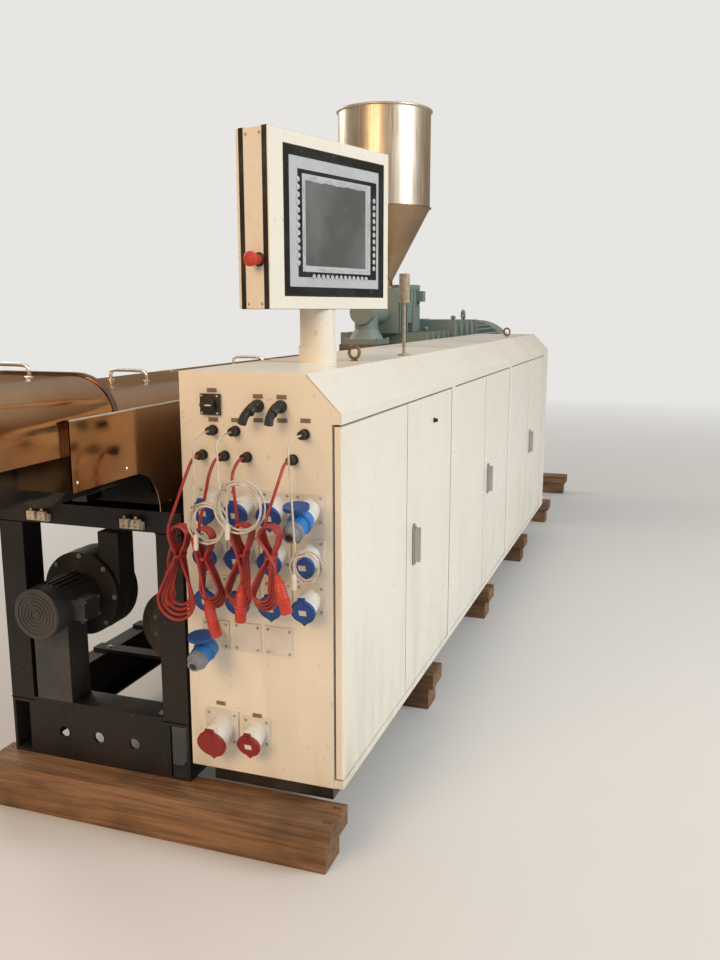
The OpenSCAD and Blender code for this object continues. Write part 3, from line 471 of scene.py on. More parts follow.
for k in range(timber_count):
    for across in nail_rows:
        for along in (nail_inset, timber_width - nail_inset):
            place = (timber_start + k * timber_pitch + along, across, 0)
            lathe(mesh, [(0, 5), (1.2, 4.6), (1.8, 2)], place, sides=10)
make("timber_nails", mesh, rusted)

# Base frame: dark grey painted channels, posts and top rails, welded, bolted and dusty.
# Fillet welds join posts to rails; hexagon bolts hold the top rails and the mounting bars.
frame_paint = worn(principled("frame_paint", (0.014, 0.013, 0.014), 0.5), (0.009, 0.008, 0.009),
                   (0.032, 0.026, 0.023), (0.10, 0.07, 0.05), patch=4.5, dust=0.6, marks=0.5,
                   rough=(0.38, 0.68))
frame_paint.node_tree.nodes["Principled BSDF"].inputs["Specular IOR Level"].default_value = 0.32
dress(frame_paint, "base_side_rails", "base_cross_rails", "frame_posts", "frame_top_rails", "mounting_bars",
      "barrel_saddle", "drive_pedestals", "coupling_guard")
zinc = worn(principled("zinc_plate", (0.45, 0.44, 0.41), 0.35, metallic=0.9), (0.46, 0.45, 0.42),
            (0.33, 0.30, 0.26), (0.15, 0.12, 0.10), patch=60, dust=0.7)
post_x, post_side, post_y = (0, 1080, 2160), 80, (460, 980)
rail_top, post_top, frame_height = 170, 720, 780
bead_out, bead_in, bead_rise = 3, 1, 4


def block(mesh, low, high, turn=Matrix.Identity(4)):
    """A box between two corners."""
    low, high = Vector(low), Vector(high)
    size = Matrix.Diagonal((*(high - low), 1))
    bmesh.ops.create_cube(mesh, size=1, matrix=turn @ Matrix.Translation((low + high) / 2) @ size)


def hexagon(mesh, place, radius, axis):
    """A hexagon bolt head on a washer."""
    thick = radius * 0.7
    lathe(mesh, [(0, radius * 1.3), (radius * 0.15, radius * 1.3)], place, axis, 20)
    lathe(mesh, [(0, radius), (thick * 0.85, radius), (thick, radius * 0.85)], place, axis, 6)


mesh = bmesh.new()
for x0 in post_x:
    for y0 in post_y:
        x1, y1 = x0 + post_side, y0 + post_side
        for z, out in ((rail_top, bead_rise), (post_top, -bead_rise)):
            for low, high in (((x0, y0 - bead_out), (x1, y0 + bead_in)),
                              ((x0 - bead_out, y0), (x0 + bead_in, y1)),
                              ((x0, y1 - bead_in), (x1, y1 + bead_out)),
                              ((x1 - bead_in, y0), (x1 + bead_out, y1))):
                inside = max(low[0], 0), max(low[1], post_y[0])
                block(mesh, (*inside, min(z, z + out)), (*high, max(z, z + out)))
make("frame_welds", mesh, frame_paint, rounded=1.5)
bolt_radius, bolt_inset, bar_top = 8, 18, 182
bar_bolts = [(x, y) for x in (27, 65) for y in (560, 960)]
bar_bolts += [(x, y) for x in (870, 1670, 416, 656) for y in (520, 1000)]
mesh = bmesh.new()
for x in post_x:
    for y, away in ((post_y[0], -1), (post_y[1] + post_side, 1)):
        for z in (post_top + bolt_inset, frame_height - bolt_inset):
            hexagon(mesh, (x + post_side / 2, y, z), bolt_radius, (0, away, 0))
for x, y in bar_bolts:
    hexagon(mesh, (x, y, bar_top), bolt_radius, (0, 0, 1))
make("frame_bolts", mesh, zinc)

# Ceramic terminal blocks for the heaters, screwed to the front top rail.
# Each is a glazed bar with two raised poles, which hold brass clamping screws in front and on top.
ceramic = worn(principled("ceramic", (0.62, 0.58, 0.50), 0.35), (0.62, 0.58, 0.50), (0.42, 0.36, 0.28),
               (0.2, 0.16, 0.12), patch=40, dust=0.8)
brass = worn(principled("brass", (0.55, 0.42, 0.2), 0.3, metallic=1), (0.55, 0.42, 0.2), (0.35, 0.26, 0.14),
             (0.2, 0.15, 0.1), patch=60)
terminal_places, pole_offset = (606, 912), 18


def screw(mesh, place, radius, axis, turn=Matrix.Identity(4)):
    """A low domed screw head with a drive recess."""
    rise = radius * 0.55
    profile = [(0, radius), (rise * 0.4, radius), (rise * 0.85, radius * 0.7), (rise, radius * 0.4),
               (rise * 0.45, radius * 0.32)]
    lathe(mesh, profile, place, axis, 12, turn)


body_mesh, brass_mesh = bmesh.new(), bmesh.new()
for middle in terminal_places:
    block(body_mesh, (-12, middle - 34, 728), (0, middle + 34, 750))
    for pole in (middle - pole_offset, middle + pole_offset):
        block(body_mesh, (-24, pole - 13, 732), (-10, pole + 13, 758))
        for up in (738, 750):
            screw(brass_mesh, (-24, pole, up), 4, (-1, 0, 0))
        block(brass_mesh, (-20, pole - 4, 757), (-14, pole + 4, 766))
make("terminal_ceramics", body_mesh, ceramic, rounded=1.5)
make("terminal_screws", brass_mesh, brass)

# Cabinet: folded sheet steel in ivory paint on a dark plinth, with six leaves and bright swing handles.
# It is nearly new: faint grime low down, slight waviness, handling marks, a rubber seal behind each leaf.
ivory = worn(principled("ivory_paint", (0.80, 0.77, 0.66), 0.32, coat=0.15), (0.79, 0.76, 0.67),
             (0.68, 0.63, 0.52), (0.42, 0.36, 0.27), patch=1.8, speck=48, dust=0.42, marks=0.38,
             height=0.00012, rough=(0.26, 0.45))
tree = ivory.node_tree
shader = tree.nodes["Principled BSDF"]
old_colour = shader.inputs["Base Color"].links[0].from_socket
streaks = texture_at(tree, (4, 4, 0.9), 2.2, 6, 0.9)
place = tree.nodes.new("ShaderNodeTexCoord")
split = tree.nodes.new("ShaderNodeSeparateXYZ")
tree.links.new(place.outputs["Object"], split.inputs[0])
low_down = ramp(tree, split.outputs["Z"], 0.2, 0.75, 0.5, 0.05)
grime = combine(tree, "MULTIPLY", ramp(tree, streaks.outputs[0], 0.48, 0.75), low_down)
tree.links.new(mix(tree, grime, old_colour, (0.43, 0.38, 0.30)), shader.inputs["Base Color"])
waves = texture_at(tree, (1, 1, 1), 2.6, 2)
tree.links.new(bump(tree, waves.outputs[0], 0.004, 0.35), shader.inputs["Normal"])
dress(ivory, "cabinet_floor", "cabinet_back", "front_end_panel", "rear_end_panel", "cabinet_roof",
      "door_rails", "door_mullions", "door_1", "door_2", "door_3", "door_4", "door_5", "door_6",
      "column_collar", "operator_column", "operator_box", "operator_front")
# The plinth's near-black is its dark paint and also painted shade of the shadow under the cabinet.
plinth_paint = worn(principled("plinth_paint", (0.03, 0.027, 0.025), 0.6), (0.022, 0.02, 0.018),
                    (0.07, 0.06, 0.05), (0.2, 0.17, 0.14))
dress(plinth_paint, "cabinet_plinth")


def slab(mesh, outline, low, high, place):
    """A flat sheet with the given outline; place turns its corners and a depth into a point."""
    faces = [[mesh.verts.new(place(a, b, depth)) for a, b in outline] for depth in (low, high)]
    skin(mesh, faces)
    mesh.faces.new(faces[0])
    mesh.faces.new(faces[1])


# Each end panel runs out in a corner under the roof's folded lip, as a continuation of the same sheet.
cabinet_length, sheet = 3800, 2.7
panel_start, lip_y, lip_foot, lip_fold, panel_corner = 25.7, sheet + 0.6, 1037, 1062.6, 1084.8
mesh = bmesh.new()
for x in (0, cabinet_length - sheet):
    slab(mesh, [(lip_y, lip_foot), (panel_start, lip_foot), (panel_start, panel_corner), (lip_y, lip_fold)],
         x, x + sheet, lambda y, z, depth: (depth, y, z))
make("panel_corners", mesh, ivory)
bright = worn(principled("bright_chrome", (0.5, 0.49, 0.48), 0.16, metallic=1), (0.48, 0.47, 0.46),
              (0.36, 0.35, 0.34), (0.2, 0.19, 0.17), dust=0.4, marks=0.3, height=0.00004, rough=(0.1, 0.25))
dress(bright, "handle_1", "handle_2", "handle_3", "hinge_pins")
black_plastic = worn(principled("black_plastic", (0.012, 0.012, 0.012), 0.38), (0.012, 0.012, 0.012),
                     (0.035, 0.034, 0.032), (0.09, 0.085, 0.08), patch=14, dust=0.6, marks=0.4)
leaf_start, leaf_step, pair_pitch = 3, 586, 1228
handle_across, lock_z, gasket_low, gasket_high, gasket_radius = 80, 612, 514, 621, 16
seal_inset, seal_end, seal_rim, seal_wall = 12, 568, 10, 8
seal_low, seal_high = ((point.z - corner.z) * 1000 + floor_of_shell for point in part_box("door_1"))
seal_low, seal_high = seal_low + seal_inset, seal_high - seal_inset
half_turn = [math.radians(a) for a in range(0, 181, 15)]
for pair in range(3):
    leaf_x = leaf_start + pair * pair_pitch + leaf_step
    handle_x = leaf_x + handle_across
    body = f"leaf_{2 * pair + 2}"
    mesh = bmesh.new()
    lathe(mesh, [(0, 7), (1.5, 7), (2, 6)], (handle_x, -21.5, lock_z), (0, 1, 0), 20)
    lathe(mesh, [(0, 3.4), (0.4, 3.4)], (handle_x, -21.9, lock_z), (0, 1, 0), 6)
    make(f"handle_lock_{pair + 1}", mesh, zinc, body=body)
    mesh = bmesh.new()
    rounded_ends = [(handle_x + side * gasket_radius * math.cos(a), z + side * gasket_radius * math.sin(a))
                    for side, z in ((1, gasket_high), (-1, gasket_low)) for a in half_turn]
    slab(mesh, rounded_ends, -1.6, 0, lambda x, z, y: (x, y, z))
    make(f"handle_gasket_{pair + 1}", mesh, black_plastic, body=body)
    for number, x0 in ((2 * pair + 1, leaf_x - leaf_step), (2 * pair + 2, leaf_x)):
        mesh = bmesh.new()
        first, last = x0 + seal_inset, x0 + seal_end
        for (x, z), (end_x, end_z) in (((first, seal_low), (last, seal_low + seal_rim)),
                                       ((first, seal_high - seal_rim), (last, seal_high)),
                                       ((first, seal_low), (first + seal_wall, seal_high)),
                                       ((last - seal_wall, seal_low), (last, seal_high))):
            block(mesh, (x, 19.5, z), (end_x, 22.5, end_z))
        make(f"leaf_seal_{number}", mesh, black_plastic, body=f"leaf_{number}")
knob_place = (911, 0, 945)
mesh = bmesh.new()
lathe(mesh, [(0, 9), (2, 9), (2.5, 7), (11, 6.5), (12.5, 5.5), (13, 2)], knob_place, (0, -1, 0), 24)
make("door_knob", mesh, black_plastic, body="leaf_2")

# Lifting eyes, bronze passivated, and the signal lamp, still in its wrapping film, on its stem.
# Rings between the lamp's lenses show through the film.
bronze = worn(principled("bronze_eye", (0.25, 0.16, 0.07), 0.4, metallic=0.8), (0.26, 0.17, 0.075),
              (0.16, 0.10, 0.05), (0.4, 0.3, 0.2), patch=30, dust=0.8)
roof_top, eye_places, eye_y, eye_radius, eye_wire, eye_heading = 1160, (575, 3250), 170, 20, 5, -20


def lathe_ring(mesh, profile, turn, sides):
    """A turned band without end faces."""
    rings = []
    for height, radius in profile:
        rings.append([mesh.verts.new(turn @ Vector((radius * math.cos(a), radius * math.sin(a), height)))
                      for a in (2 * math.pi * k / sides for k in range(sides))])
    skin(mesh, rings)


round_wire = [2 * math.pi * k / 12 for k in range(13)]
mesh = bmesh.new()
for x in eye_places:
    lathe(mesh, [(0, 12), (2.5, 12), (3.5, 8), (6, 6.5)], (x, eye_y, roof_top), sides=20)
    eye_turn = (Matrix.Translation((x, eye_y, roof_top + eye_radius + 1.4 * eye_wire))
                @ Matrix.Rotation(math.radians(eye_heading), 4, "Z")
                @ Matrix.Rotation(math.radians(90), 4, "Y"))
    wire_section = [(eye_wire * math.sin(a), eye_radius + eye_wire * math.cos(a)) for a in round_wire]
    lathe_ring(mesh, wire_section, eye_turn, 36)
bmesh.ops.remove_doubles(mesh, verts=mesh.verts, dist=0.001)
make("lifting_eyes_turned", mesh, bronze, stands_for=["lifting_eyes"])
wrapped = worn(principled("wrapped_lamp", (0.42, 0.37, 0.29), 0.45), (0.44, 0.36, 0.26), (0.28, 0.22, 0.15),
               (0.6, 0.55, 0.45), patch=60, dust=0.9, marks=0.5)
dress(wrapped, "signal_lamp")
lamp_x, lamp_y, first_ring, ring_pitch, cap_up = 930, 115, 182, 27, 273
mesh = bmesh.new()
lathe(mesh, [(0, 21), (4, 21), (7, 12), (9, 7)], (lamp_x, lamp_y, roof_top), sides=28)
for k in range(4):
    ring_z = roof_top + first_ring + ring_pitch * k
    lathe(mesh, [(-1.5, 18.4), (0, 19.2), (1.5, 18.4)], (lamp_x, lamp_y, ring_z), sides=28)
lathe(mesh, [(0, 18.3), (1.5, 16), (2.5, 9)], (lamp_x, lamp_y, roof_top + cap_up), sides=28)
make("lamp_rings", mesh, wrapped)

# Socket panel: blue and red industrial sockets on white housings, with blank plates for the unused places.
# Each is moulded plastic, held to the end panel by four screws through its square flange.
white_plastic = worn(principled("white_plastic", (0.72, 0.72, 0.69), 0.42), (0.70, 0.69, 0.65),
                     (0.52, 0.49, 0.43), (0.4, 0.38, 0.34), patch=12, dust=0.6, marks=0.3)
blue_plastic = worn(principled("blue_plastic", (0.006, 0.06, 0.27), 0.3), (0.006, 0.06, 0.28),
                    (0.015, 0.06, 0.22), (0.12, 0.2, 0.4), patch=14, dust=0.7, marks=0.3)
light_blue = worn(principled("light_blue_plastic", (0.02, 0.2, 0.55), 0.32), (0.02, 0.19, 0.52),
                  (0.035, 0.16, 0.38), (0.2, 0.36, 0.6), patch=14, dust=0.6, marks=0.3)
red_plastic = worn(principled("red_plastic", (0.27, 0.01, 0.01), 0.3), (0.26, 0.010, 0.009),
                   (0.17, 0.013, 0.011), (0.42, 0.08, 0.07), patch=14, dust=0.6, marks=0.3)
grey_plastic = worn(principled("grey_plastic", (0.22, 0.25, 0.28), 0.45), (0.20, 0.23, 0.27),
                    (0.13, 0.14, 0.15), (0.35, 0.36, 0.38), patch=20, dust=0.7)
dress(white_plastic, "socket_housings")
dress(blue_plastic, "blue_socket_lids")
dress(light_blue, "blue_plugs")
dress(red_plastic, "red_socket_lids")
dress(black_plastic, "panel_switchgear")
socket_tilt = Matrix.Rotation(math.radians(18), 4, "X")
body_length, body_radius, lid_radius, lid_thick, screw_offset = 52, 29, 33, 9, 31
columns, socket_rows = (86, 178, 270, 362), (760, 640, 522)
plugged = ((86, 760), (362, 395))
blue_places = [(y, z) for z in socket_rows for y in columns] + [(362, 395)]
red_places = ((352, 128, 1.25), (248, 130, 1.0))
plate_places = ((270, 395), (178, 395))


def panel(y, z):
    """The frame of a fitting on the end panel: its local Z points away from the sheet."""
    return Matrix(((0, 0, -1, 0), (-1, 0, 0, y), (0, 1, 0, z + floor_of_shell), (0, 0, 0, 1)))


def corner_screws(mesh, offset, height, radius, turn):
    """Four screws at the corners of a square flange."""
    for a in (-offset, offset):
        for b in (-offset, offset):
            screw(mesh, (a, b, height), radius, (0, 0, 1), turn)


def hoop(mesh, radius, wire, height, turn, sides=32):
    """A round bead standing on a face at the given height."""
    profile = [(height, radius + wire), (height + wire, radius), (height, radius - wire)]
    lathe_ring(mesh, profile, turn, sides)


flange_screws, lid_beads, red_beads, lid_marks, collars = (bmesh.new() for _ in range(5))
for y, z, k in [(y, z, 1.0) for y, z in blue_places] + list(red_places):
    turn = panel(y, z)
    tilted = turn @ socket_tilt
    corner_screws(flange_screws, screw_offset * k, 6, 4.2, turn)
    length, radius = body_length * k, body_radius * k
    for low, high, proud in ((14 * k, 14 * k + 4, 0.8), (26 * k, 26 * k + 4, 0.8),
                             (length - 7, length - 1, 1.5)):
        lathe(collars, [(low, radius + proud), (high, radius + proud)], turn=tilted, sides=40)
    if (y, z) not in plugged:
        top = length + seam + lid_thick
        beads = red_beads if (y, z, k) in red_places else lid_beads
        hoop(beads, lid_radius * k - 3, 1.8, top - 0.3, tilted)
        block(beads, (-7 * k, 21 * k, top - 1), (7 * k, 38 * k, top + 2), tilted)
        thumb = Matrix.Translation((0, 4 - lid_radius * k, 0)) @ Matrix.Rotation(math.radians(45), 4, "Z")
        block(beads, (-9, -9, top - lid_thick), (9, 9, top + 0.4), tilted @ thumb)
        if k == 1:
            block(lid_marks, (-10, -9, top - 0.5), (10, 7, top + 0.6), tilted)
            block(beads, (-11.5, -10.5, top - 0.5), (11.5, 8.5, top + 0.25), tilted)
for y, z in plate_places:
    corner_screws(flange_screws, screw_offset, 3, 4.2, panel(y, z))
make("flange_screws", flange_screws, zinc)
make("housing_collars", collars, white_plastic, rounded=0.6)
make("blue_lid_beads", lid_beads, blue_plastic)
make("red_lid_beads", red_beads, red_plastic)
make("lid_marks", lid_marks, white_plastic, rounded=0.4)

# Plugs in two of the sockets: ribbed light-blue grips with grey clamping nuts, moulded in plastic.
# A grip is turned to lock it in its socket, and a toothed nut with a round hole closes its end.


def stand_round(mesh, low, high, count, turn=Matrix.Identity(4), start=0.0):
    """Ribs or teeth, each a block, evenly round the local Z axis."""
    for k in range(count):
        block(mesh, low, high, turn @ Matrix.Rotation(2 * math.pi * (k + start) / count, 4, "Z"))


ribs, nuts, holes = (bmesh.new() for _ in range(3))
for y, z in plugged:
    turn = panel(y, z) @ socket_tilt @ Matrix.Translation((0, 0, body_length))
    lathe(ribs, [(22, 31.8), (24, 31.8), (27, 27)], turn=turn, sides=40)
    stand_round(ribs, (25.4, -1.3, 27), (27.2, 1.3, 55), 18, turn)
    lathe(nuts, [(54, 25.5), (57, 27), (70, 25.5), (71, 23), (88, 16), (89, 13)], turn=turn, sides=36)
    stand_round(nuts, (25.4, -1, 57), (27.3, 1, 69), 24, turn)
    lathe(holes, [(88.8, 9.5), (89.3, 9.5)], turn=turn, sides=24)
make("plug_ribs", ribs, light_blue, rounded=0.5)
make("plug_nuts", nuts, grey_plastic, rounded=0.6)
make("plug_holes", holes, black_plastic)

# Switch, cable elbows and lead connectors, moulded in black plastic, with small brown-grey metal plates.
# The elbows are corrugated stubs that bend down from their glands; each plate is held by two rivets.
plate_brown = worn(principled("plate_brown", (0.20, 0.15, 0.10), 0.5), (0.19, 0.145, 0.10),
                   (0.12, 0.09, 0.06), (0.35, 0.3, 0.24), patch=60, dust=0.6)
label_places = ((355, 1053), (353, 977), (288, 978), (225, 1041), (225, 980), (160, 1041), (159, 982),
                (96, 984), (356, 195), (247, 175))
labels, rivets, marks, elbows = (bmesh.new() for _ in range(4))
for y, z in label_places:
    block(labels, (-14, -5.5, 0), (14, 5.5, 1.2), panel(y, z))
    for a in (-11.5, 11.5):
        screw(rivets, (a, 0, 1.2), 1.4, (0, 0, 1), panel(y, z))
make("label_plates", labels, plate_brown, rounded=0.5)
make("label_rivets", rivets, zinc)
switch_row = 1017
switch_place = panel(357, switch_row)
block(marks, (-2, -1.6, 31.5), (15, 1.6, 32.6), switch_place)
corner_screws(marks, 22, 12, 2.4, switch_place)
make("switch_mark", marks, white_plastic)


def pipe(mesh, points, radii, turn=Matrix.Identity(4), sides=16, side_hint=(1, 0, 0)):
    """A tube through points, with its own radius at each point, closed at both ends."""
    rings = []
    for k, point in enumerate(points):
        along = (points[min(k + 1, len(points) - 1)] - points[max(k - 1, 0)]).normalized()
        first = along.cross(Vector(side_hint)).normalized()
        second = along.cross(first)
        radius = radii[k] if isinstance(radii, (list, tuple)) else radii
        rings.append([mesh.verts.new(turn @ (point + radius * (math.cos(a) * first + math.sin(a) * second)))
                      for a in (2 * math.pi * n / sides for n in range(sides))])
    skin(mesh, rings)
    mesh.faces.new(rings[0])
    mesh.faces.new(rings[-1])


elbow_places = ((225, -22), (162, -12))
for y, side_lean in elbow_places:
    turn = panel(y, switch_row)
    lathe(elbows, [(0, 17), (6, 17), (7, 15), (14, 15), (15, 13), (22, 13)], turn=turn, sides=18)
    bend = smooth([Vector((0, 0, 18)), Vector((0, 0, 30)), Vector((side_lean * 0.25, -8, 42)),
                   Vector((side_lean * 0.7, -24, 50)), Vector((side_lean, -42, 50))], 9)
    corrugated = [12.1 if k % 2 else 10.6 for k in range(len(bend))]
    pipe(elbows, bend, corrugated, turn)
make("cable_elbows", elbows, black_plastic)
glands = bmesh.new()
for y, row in [(y, white_row) for y in white_exits] + [(y, red_row) for y in red_exits]:
    turn = panel(y, row - floor_of_shell)
    lathe(glands, [(4.5, 13), (6, 12.4), (12, 12.4), (13, 11.5)], turn=turn, sides=6)
    stand_round(glands, (10.6, -0.9, 14), (11.9, 0.9, 23), 16, turn)
make("lead_glands", glands, black_plastic, rounded=0.4)

# In-line connectors at the ends of the leads: bright red ribbed sleeves with a keyed shroud, and small
# white ones. Three turns of red cord tie each hank, and two turns of thin white cord bind each coil.
bright_red = worn(principled("bright_red_plastic", (0.52, 0.045, 0.026), 0.35), (0.52, 0.042, 0.024),
                  (0.36, 0.03, 0.02), (0.7, 0.2, 0.14), patch=30, dust=0.6, marks=0.3)
connector_profile = [(0, 5.6), (3, 7.6), (5, 6.8), (8, 9), (10, 8.2), (13, 10.6), (15, 9.8), (18, 12)]
connector_profile += [(20, 11.4), (25, 14)] + [(28 + 3 * k, 14.4 if k % 2 else 13.2) for k in range(10)]
connector_profile += [(57, 14.4), (59.5, 14.4), (60, 15), (71, 15), (72, 13), (95, 13), (96, 12.4)]
connector_profile += [(96, 10.4), (84, 10.2)]
small_profile = [(0, 3.4), (2, 5), (7, 6), (18, 6), (18.6, 5.2), (21, 5.2), (21.6, 6), (36, 6)]
small_profile += [(38, 5), (40, 3)]
tie_wide, tie_deep, tie_drop, tie_rise, tie_wire = 23, 12, 3.4, 1.1, 1.9
binder_clear, binder_reach, binder_lean, binder_wire = 5, 9, (0.6, 0.8), 1.3
red_ends, small_ends = [], []
for number, (hank, (side, y, z, lean)) in enumerate(zip(hanks, tails), 1):
    x = hank[0] + side * (hank_depth / 2 + connector_half + seam)
    turn = to_machine @ Matrix.Translation((x, y, z)) @ Matrix.Rotation(math.radians(180 - lean), 4, "X")
    mesh = bmesh.new()
    lathe(mesh, connector_profile, sides=32)
    stand_round(mesh, (12, -3, 73), (14.6, 3, 95), 3, start=0.25)
    stand_round(mesh, (14, -1.2, 61), (15.2, 1.2, 70), 10)
    shroud = make(f"red_connector_{number}", mesh, bright_red, turn,
                  stands_for=("lead_connectors",))
    mesh = bmesh.new()
    lathe(mesh, [(84, 10), (84.5, 10)], sides=24)
    for k in range(3):
        spot = Vector((5 * math.cos(2.1 * k), 5 * math.sin(2.1 * k), 84))
        lathe(mesh, [(0, 1.8), (7, 1.8), (8, 1)], spot, sides=10)
    contacts = make(f"red_contacts_{number}", mesh, black_plastic, turn)
    mesh = bmesh.new()
    tie = []
    for a in (math.pi * k / 12 for k in range(73)):
        tie.append(Vector((hank[0] + tie_wide * math.cos(a), hank[1] + tie_deep * math.sin(a),
                           hank[2] - tie_drop + tie_rise * a / math.pi)))
    pipe(mesh, tie, tie_wire, sides=8, side_hint=(0, 0, 1))
    red_ends.append([shroud, contacts, make(f"hank_tie_{number}", mesh, red_silicone)])
for number, (ahead, y, z, r) in enumerate(coils, 1):
    mesh = bmesh.new()
    foot = (ahead - coil_depth / 2 - small_half - seam, y + small_out, z - r + small_up)
    lathe(mesh, small_profile, foot, (0, 0, -1), 20)
    small = make(f"small_connector_{number}", mesh, white_plastic,
                 stands_for=("lead_connectors",))
    mesh = bmesh.new()
    binder = []
    for a in (math.pi * k / 12 for k in range(49)):
        reach = r + binder_reach * math.sin(a)
        binder.append(Vector((ahead + (coil_turns_depth / 2 + binder_clear) * math.cos(a),
                              y + reach * binder_lean[0], z + reach * binder_lean[1])))
    pipe(mesh, binder, binder_wire, sides=8, side_hint=(0, binder_lean[1], -binder_lean[0]))
    small_ends.append([small, make(f"coil_binder_{number}", mesh, white_sleeve)])

# Operator's box: sheet steel body with two black rubber seals round it, and a thin pale front frame.
# The front holds a dark bezel, a pale keypad with round keys, and the screen under its wrapping film.
box_w, box_h, box_d, box_shift = 576, 472, 112, 8
column_place, box_heading = (485, 255, 1318), -15.9
at_box = (to_machine @ Matrix.Translation(column_place) @ Matrix.Rotation(math.radians(box_heading), 4, "Z")
          @ Matrix.Translation((box_shift - box_w / 2, -box_d / 2, 0)))
operator = "operator_unit"
bezel_grey = worn(principled("bezel_grey", (0.012, 0.0115, 0.011), 0.4), (0.012, 0.0115, 0.011),
                  (0.03, 0.029, 0.028), (0.16, 0.16, 0.155), patch=9, dust=0.6)
bezel_grey.node_tree.nodes["Principled BSDF"].inputs["Specular IOR Level"].default_value = 0.22
dress(bezel_grey, "operator_screen")
keypad_grey = worn(principled("keypad_grey", (0.50, 0.52, 0.55), 0.45), (0.46, 0.485, 0.51),
                   (0.36, 0.37, 0.385), (0.25, 0.25, 0.26), patch=9, dust=0.6)
glass = worn(principled("screen_film", (0.16, 0.19, 0.22), 0.28, coat=0.6), (0.085, 0.095, 0.10),
             (0.14, 0.15, 0.152), (0.36, 0.37, 0.37), patch=5, speck=22, dust=0.9, marks=0.35, height=0.0006,
             rough=(0.18, 0.5))
seal_out, seal_in = 1.2, 0.5
right, top = box_w + seal_out, box_h + seal_out
seals = bmesh.new()
for y0, y1 in ((3.5, 20), (86, 102)):
    block(seals, (-seal_out, y0, -seal_out), (seal_in, y1, top))
    block(seals, (box_w - seal_in, y0, -seal_out), (right, y1, top))
    block(seals, (-seal_out, y0, -seal_out), (right, y1, seal_in))
    block(seals, (-seal_out, y0, box_h - seal_in), (right, y1, top))
make("box_seals", seals, black_plastic, at_box, operator)
mesh = bmesh.new()
for z in (13, 456):
    for x, away in ((0, -1), (box_w, 1)):
        for y in (28, 76):
            screw(mesh, (x, y, z), 4, (away, 0, 0))
make("box_screws", mesh, brass, at_box, operator)
mesh = bmesh.new()
edge_width = 4
for left, foot, right, top, y0, y1 in ((61, 34, 552, 438, 0, 2), (84, 57, 530, 415, 1.6, 4)):
    block(mesh, (left, y0, foot), (right, y1, foot + edge_width))
    block(mesh, (left, y0, top - edge_width), (right, y1, top))
    block(mesh, (left, y0, foot), (left + edge_width, y1, top))
    block(mesh, (right - edge_width, y0, foot), (right, y1, top))
make("bezel_edges", mesh, black_plastic, at_box, operator, rounded=0.6)


def window(outer, inner, y0, y1):
    """A flat frame of four strips between an outer and an inner rectangle of x and z."""
    mesh = bmesh.new()
    (left, foot, right, top), (hole_left, hole_foot, hole_right, hole_top) = outer, inner
    block(mesh, (left, y0, foot), (hole_left, y1, top))
    block(mesh, (hole_right, y0, foot), (right, y1, top))
    block(mesh, (hole_left, y0, foot), (hole_right, y1, hole_foot))
    block(mesh, (hole_left, y0, hole_top), (hole_right, y1, top))
    return mesh


for name, outer, inner, y0, y1, material, soft in (
        ("keypad_field", (88, 61, 526, 411), (160, 120, 455, 351), 2.4, 3.4, keypad_grey, 0.0),
        ("keypad_border", (126, 88, 513, 379), (147, 104, 480, 367), 1.9, 2.6, bezel_grey, 0.0),
        ("screen_rim", (145, 103, 480, 368), (158, 117, 464, 352), 1.2, 3.2, keypad_grey, 0.5)):
    make(name, window(outer, inner, y0, y1), material, at_box, operator, rounded=soft)
film_left, film_foot, film_right, film_top = 157, 116, 465, 353
mesh = bmesh.new()
block(mesh, (film_left, 3.2, film_foot), (film_right, 4.6, film_top))
make("screen_film_sheet", mesh, glass, at_box, operator)
film = worn(principled("film_edge", (0.5, 0.52, 0.53), 0.25, coat=0.5), (0.50, 0.52, 0.53),
            (0.24, 0.25, 0.26), (0.8, 0.81, 0.82), patch=30, speck=60, dust=0.8, marks=0.5, height=0.0006,
            rough=(0.15, 0.4))
mesh = bmesh.new()
screen_corners = [(film_left, film_foot), (film_right, film_foot), (film_right, film_top),
                  (film_left, film_top)]
steps = 28
crumpled = [[], [], []]
for side, outward in enumerate(((0, -1), (1, 0), (0, 1), (-1, 0))):
    (ax, az), (bx, bz) = screen_corners[side], screen_corners[(side + 1) % 4]
    for k in range(steps):
        x, z = ax + (bx - ax) * k / steps, az + (bz - az) * k / steps
        phase = side * steps + k
        flutter = math.sin(phase * 1.9) + math.sin(phase * 0.73 + 1.3)
        folds = ((-3 - flutter, 3.0), (5 + flutter, 0.3 - 0.35 * flutter), (9.5 + 2.6 * flutter, 1.0))
        for ring, (reach, depth) in zip(crumpled, folds):
            ring.append(mesh.verts.new((x + outward[0] * reach, depth, z + outward[1] * reach)))
skin(mesh, crumpled)
make("screen_film_edge", mesh, film, at_box, operator)
mesh = bmesh.new()
keys = [(127, 126 + 20.4 * k) for k in range(12)] + [(500, 123 + 20.3 * k) for k in range(11)]
keys += [(196 + 21.8 * k, 90) for k in range(13)]
for x, z in keys:
    lathe(mesh, [(0, 7.4), (1.2, 7.2), (1.7, 6)], (x, 2.2, z), (0, -1, 0), 20)
make("round_keys", mesh, keypad_grey, at_box, operator)
stop_place = (0, 36, 131)
mesh = bmesh.new()
lathe(mesh, [(42, 19.6), (44, 18), (47, 10), (48, 4)], stop_place, (-1, 0, 0), 32)
make("stop_cap", mesh, bright_red, at_box, operator)
dress(bright_red, "emergency_stop")
mesh = bmesh.new()
lathe(mesh, [(0, 19), (3, 19), (4, 17)], stop_place, (-1, 0, 0), 32)
make("stop_collar", mesh, black_plastic, at_box, operator)

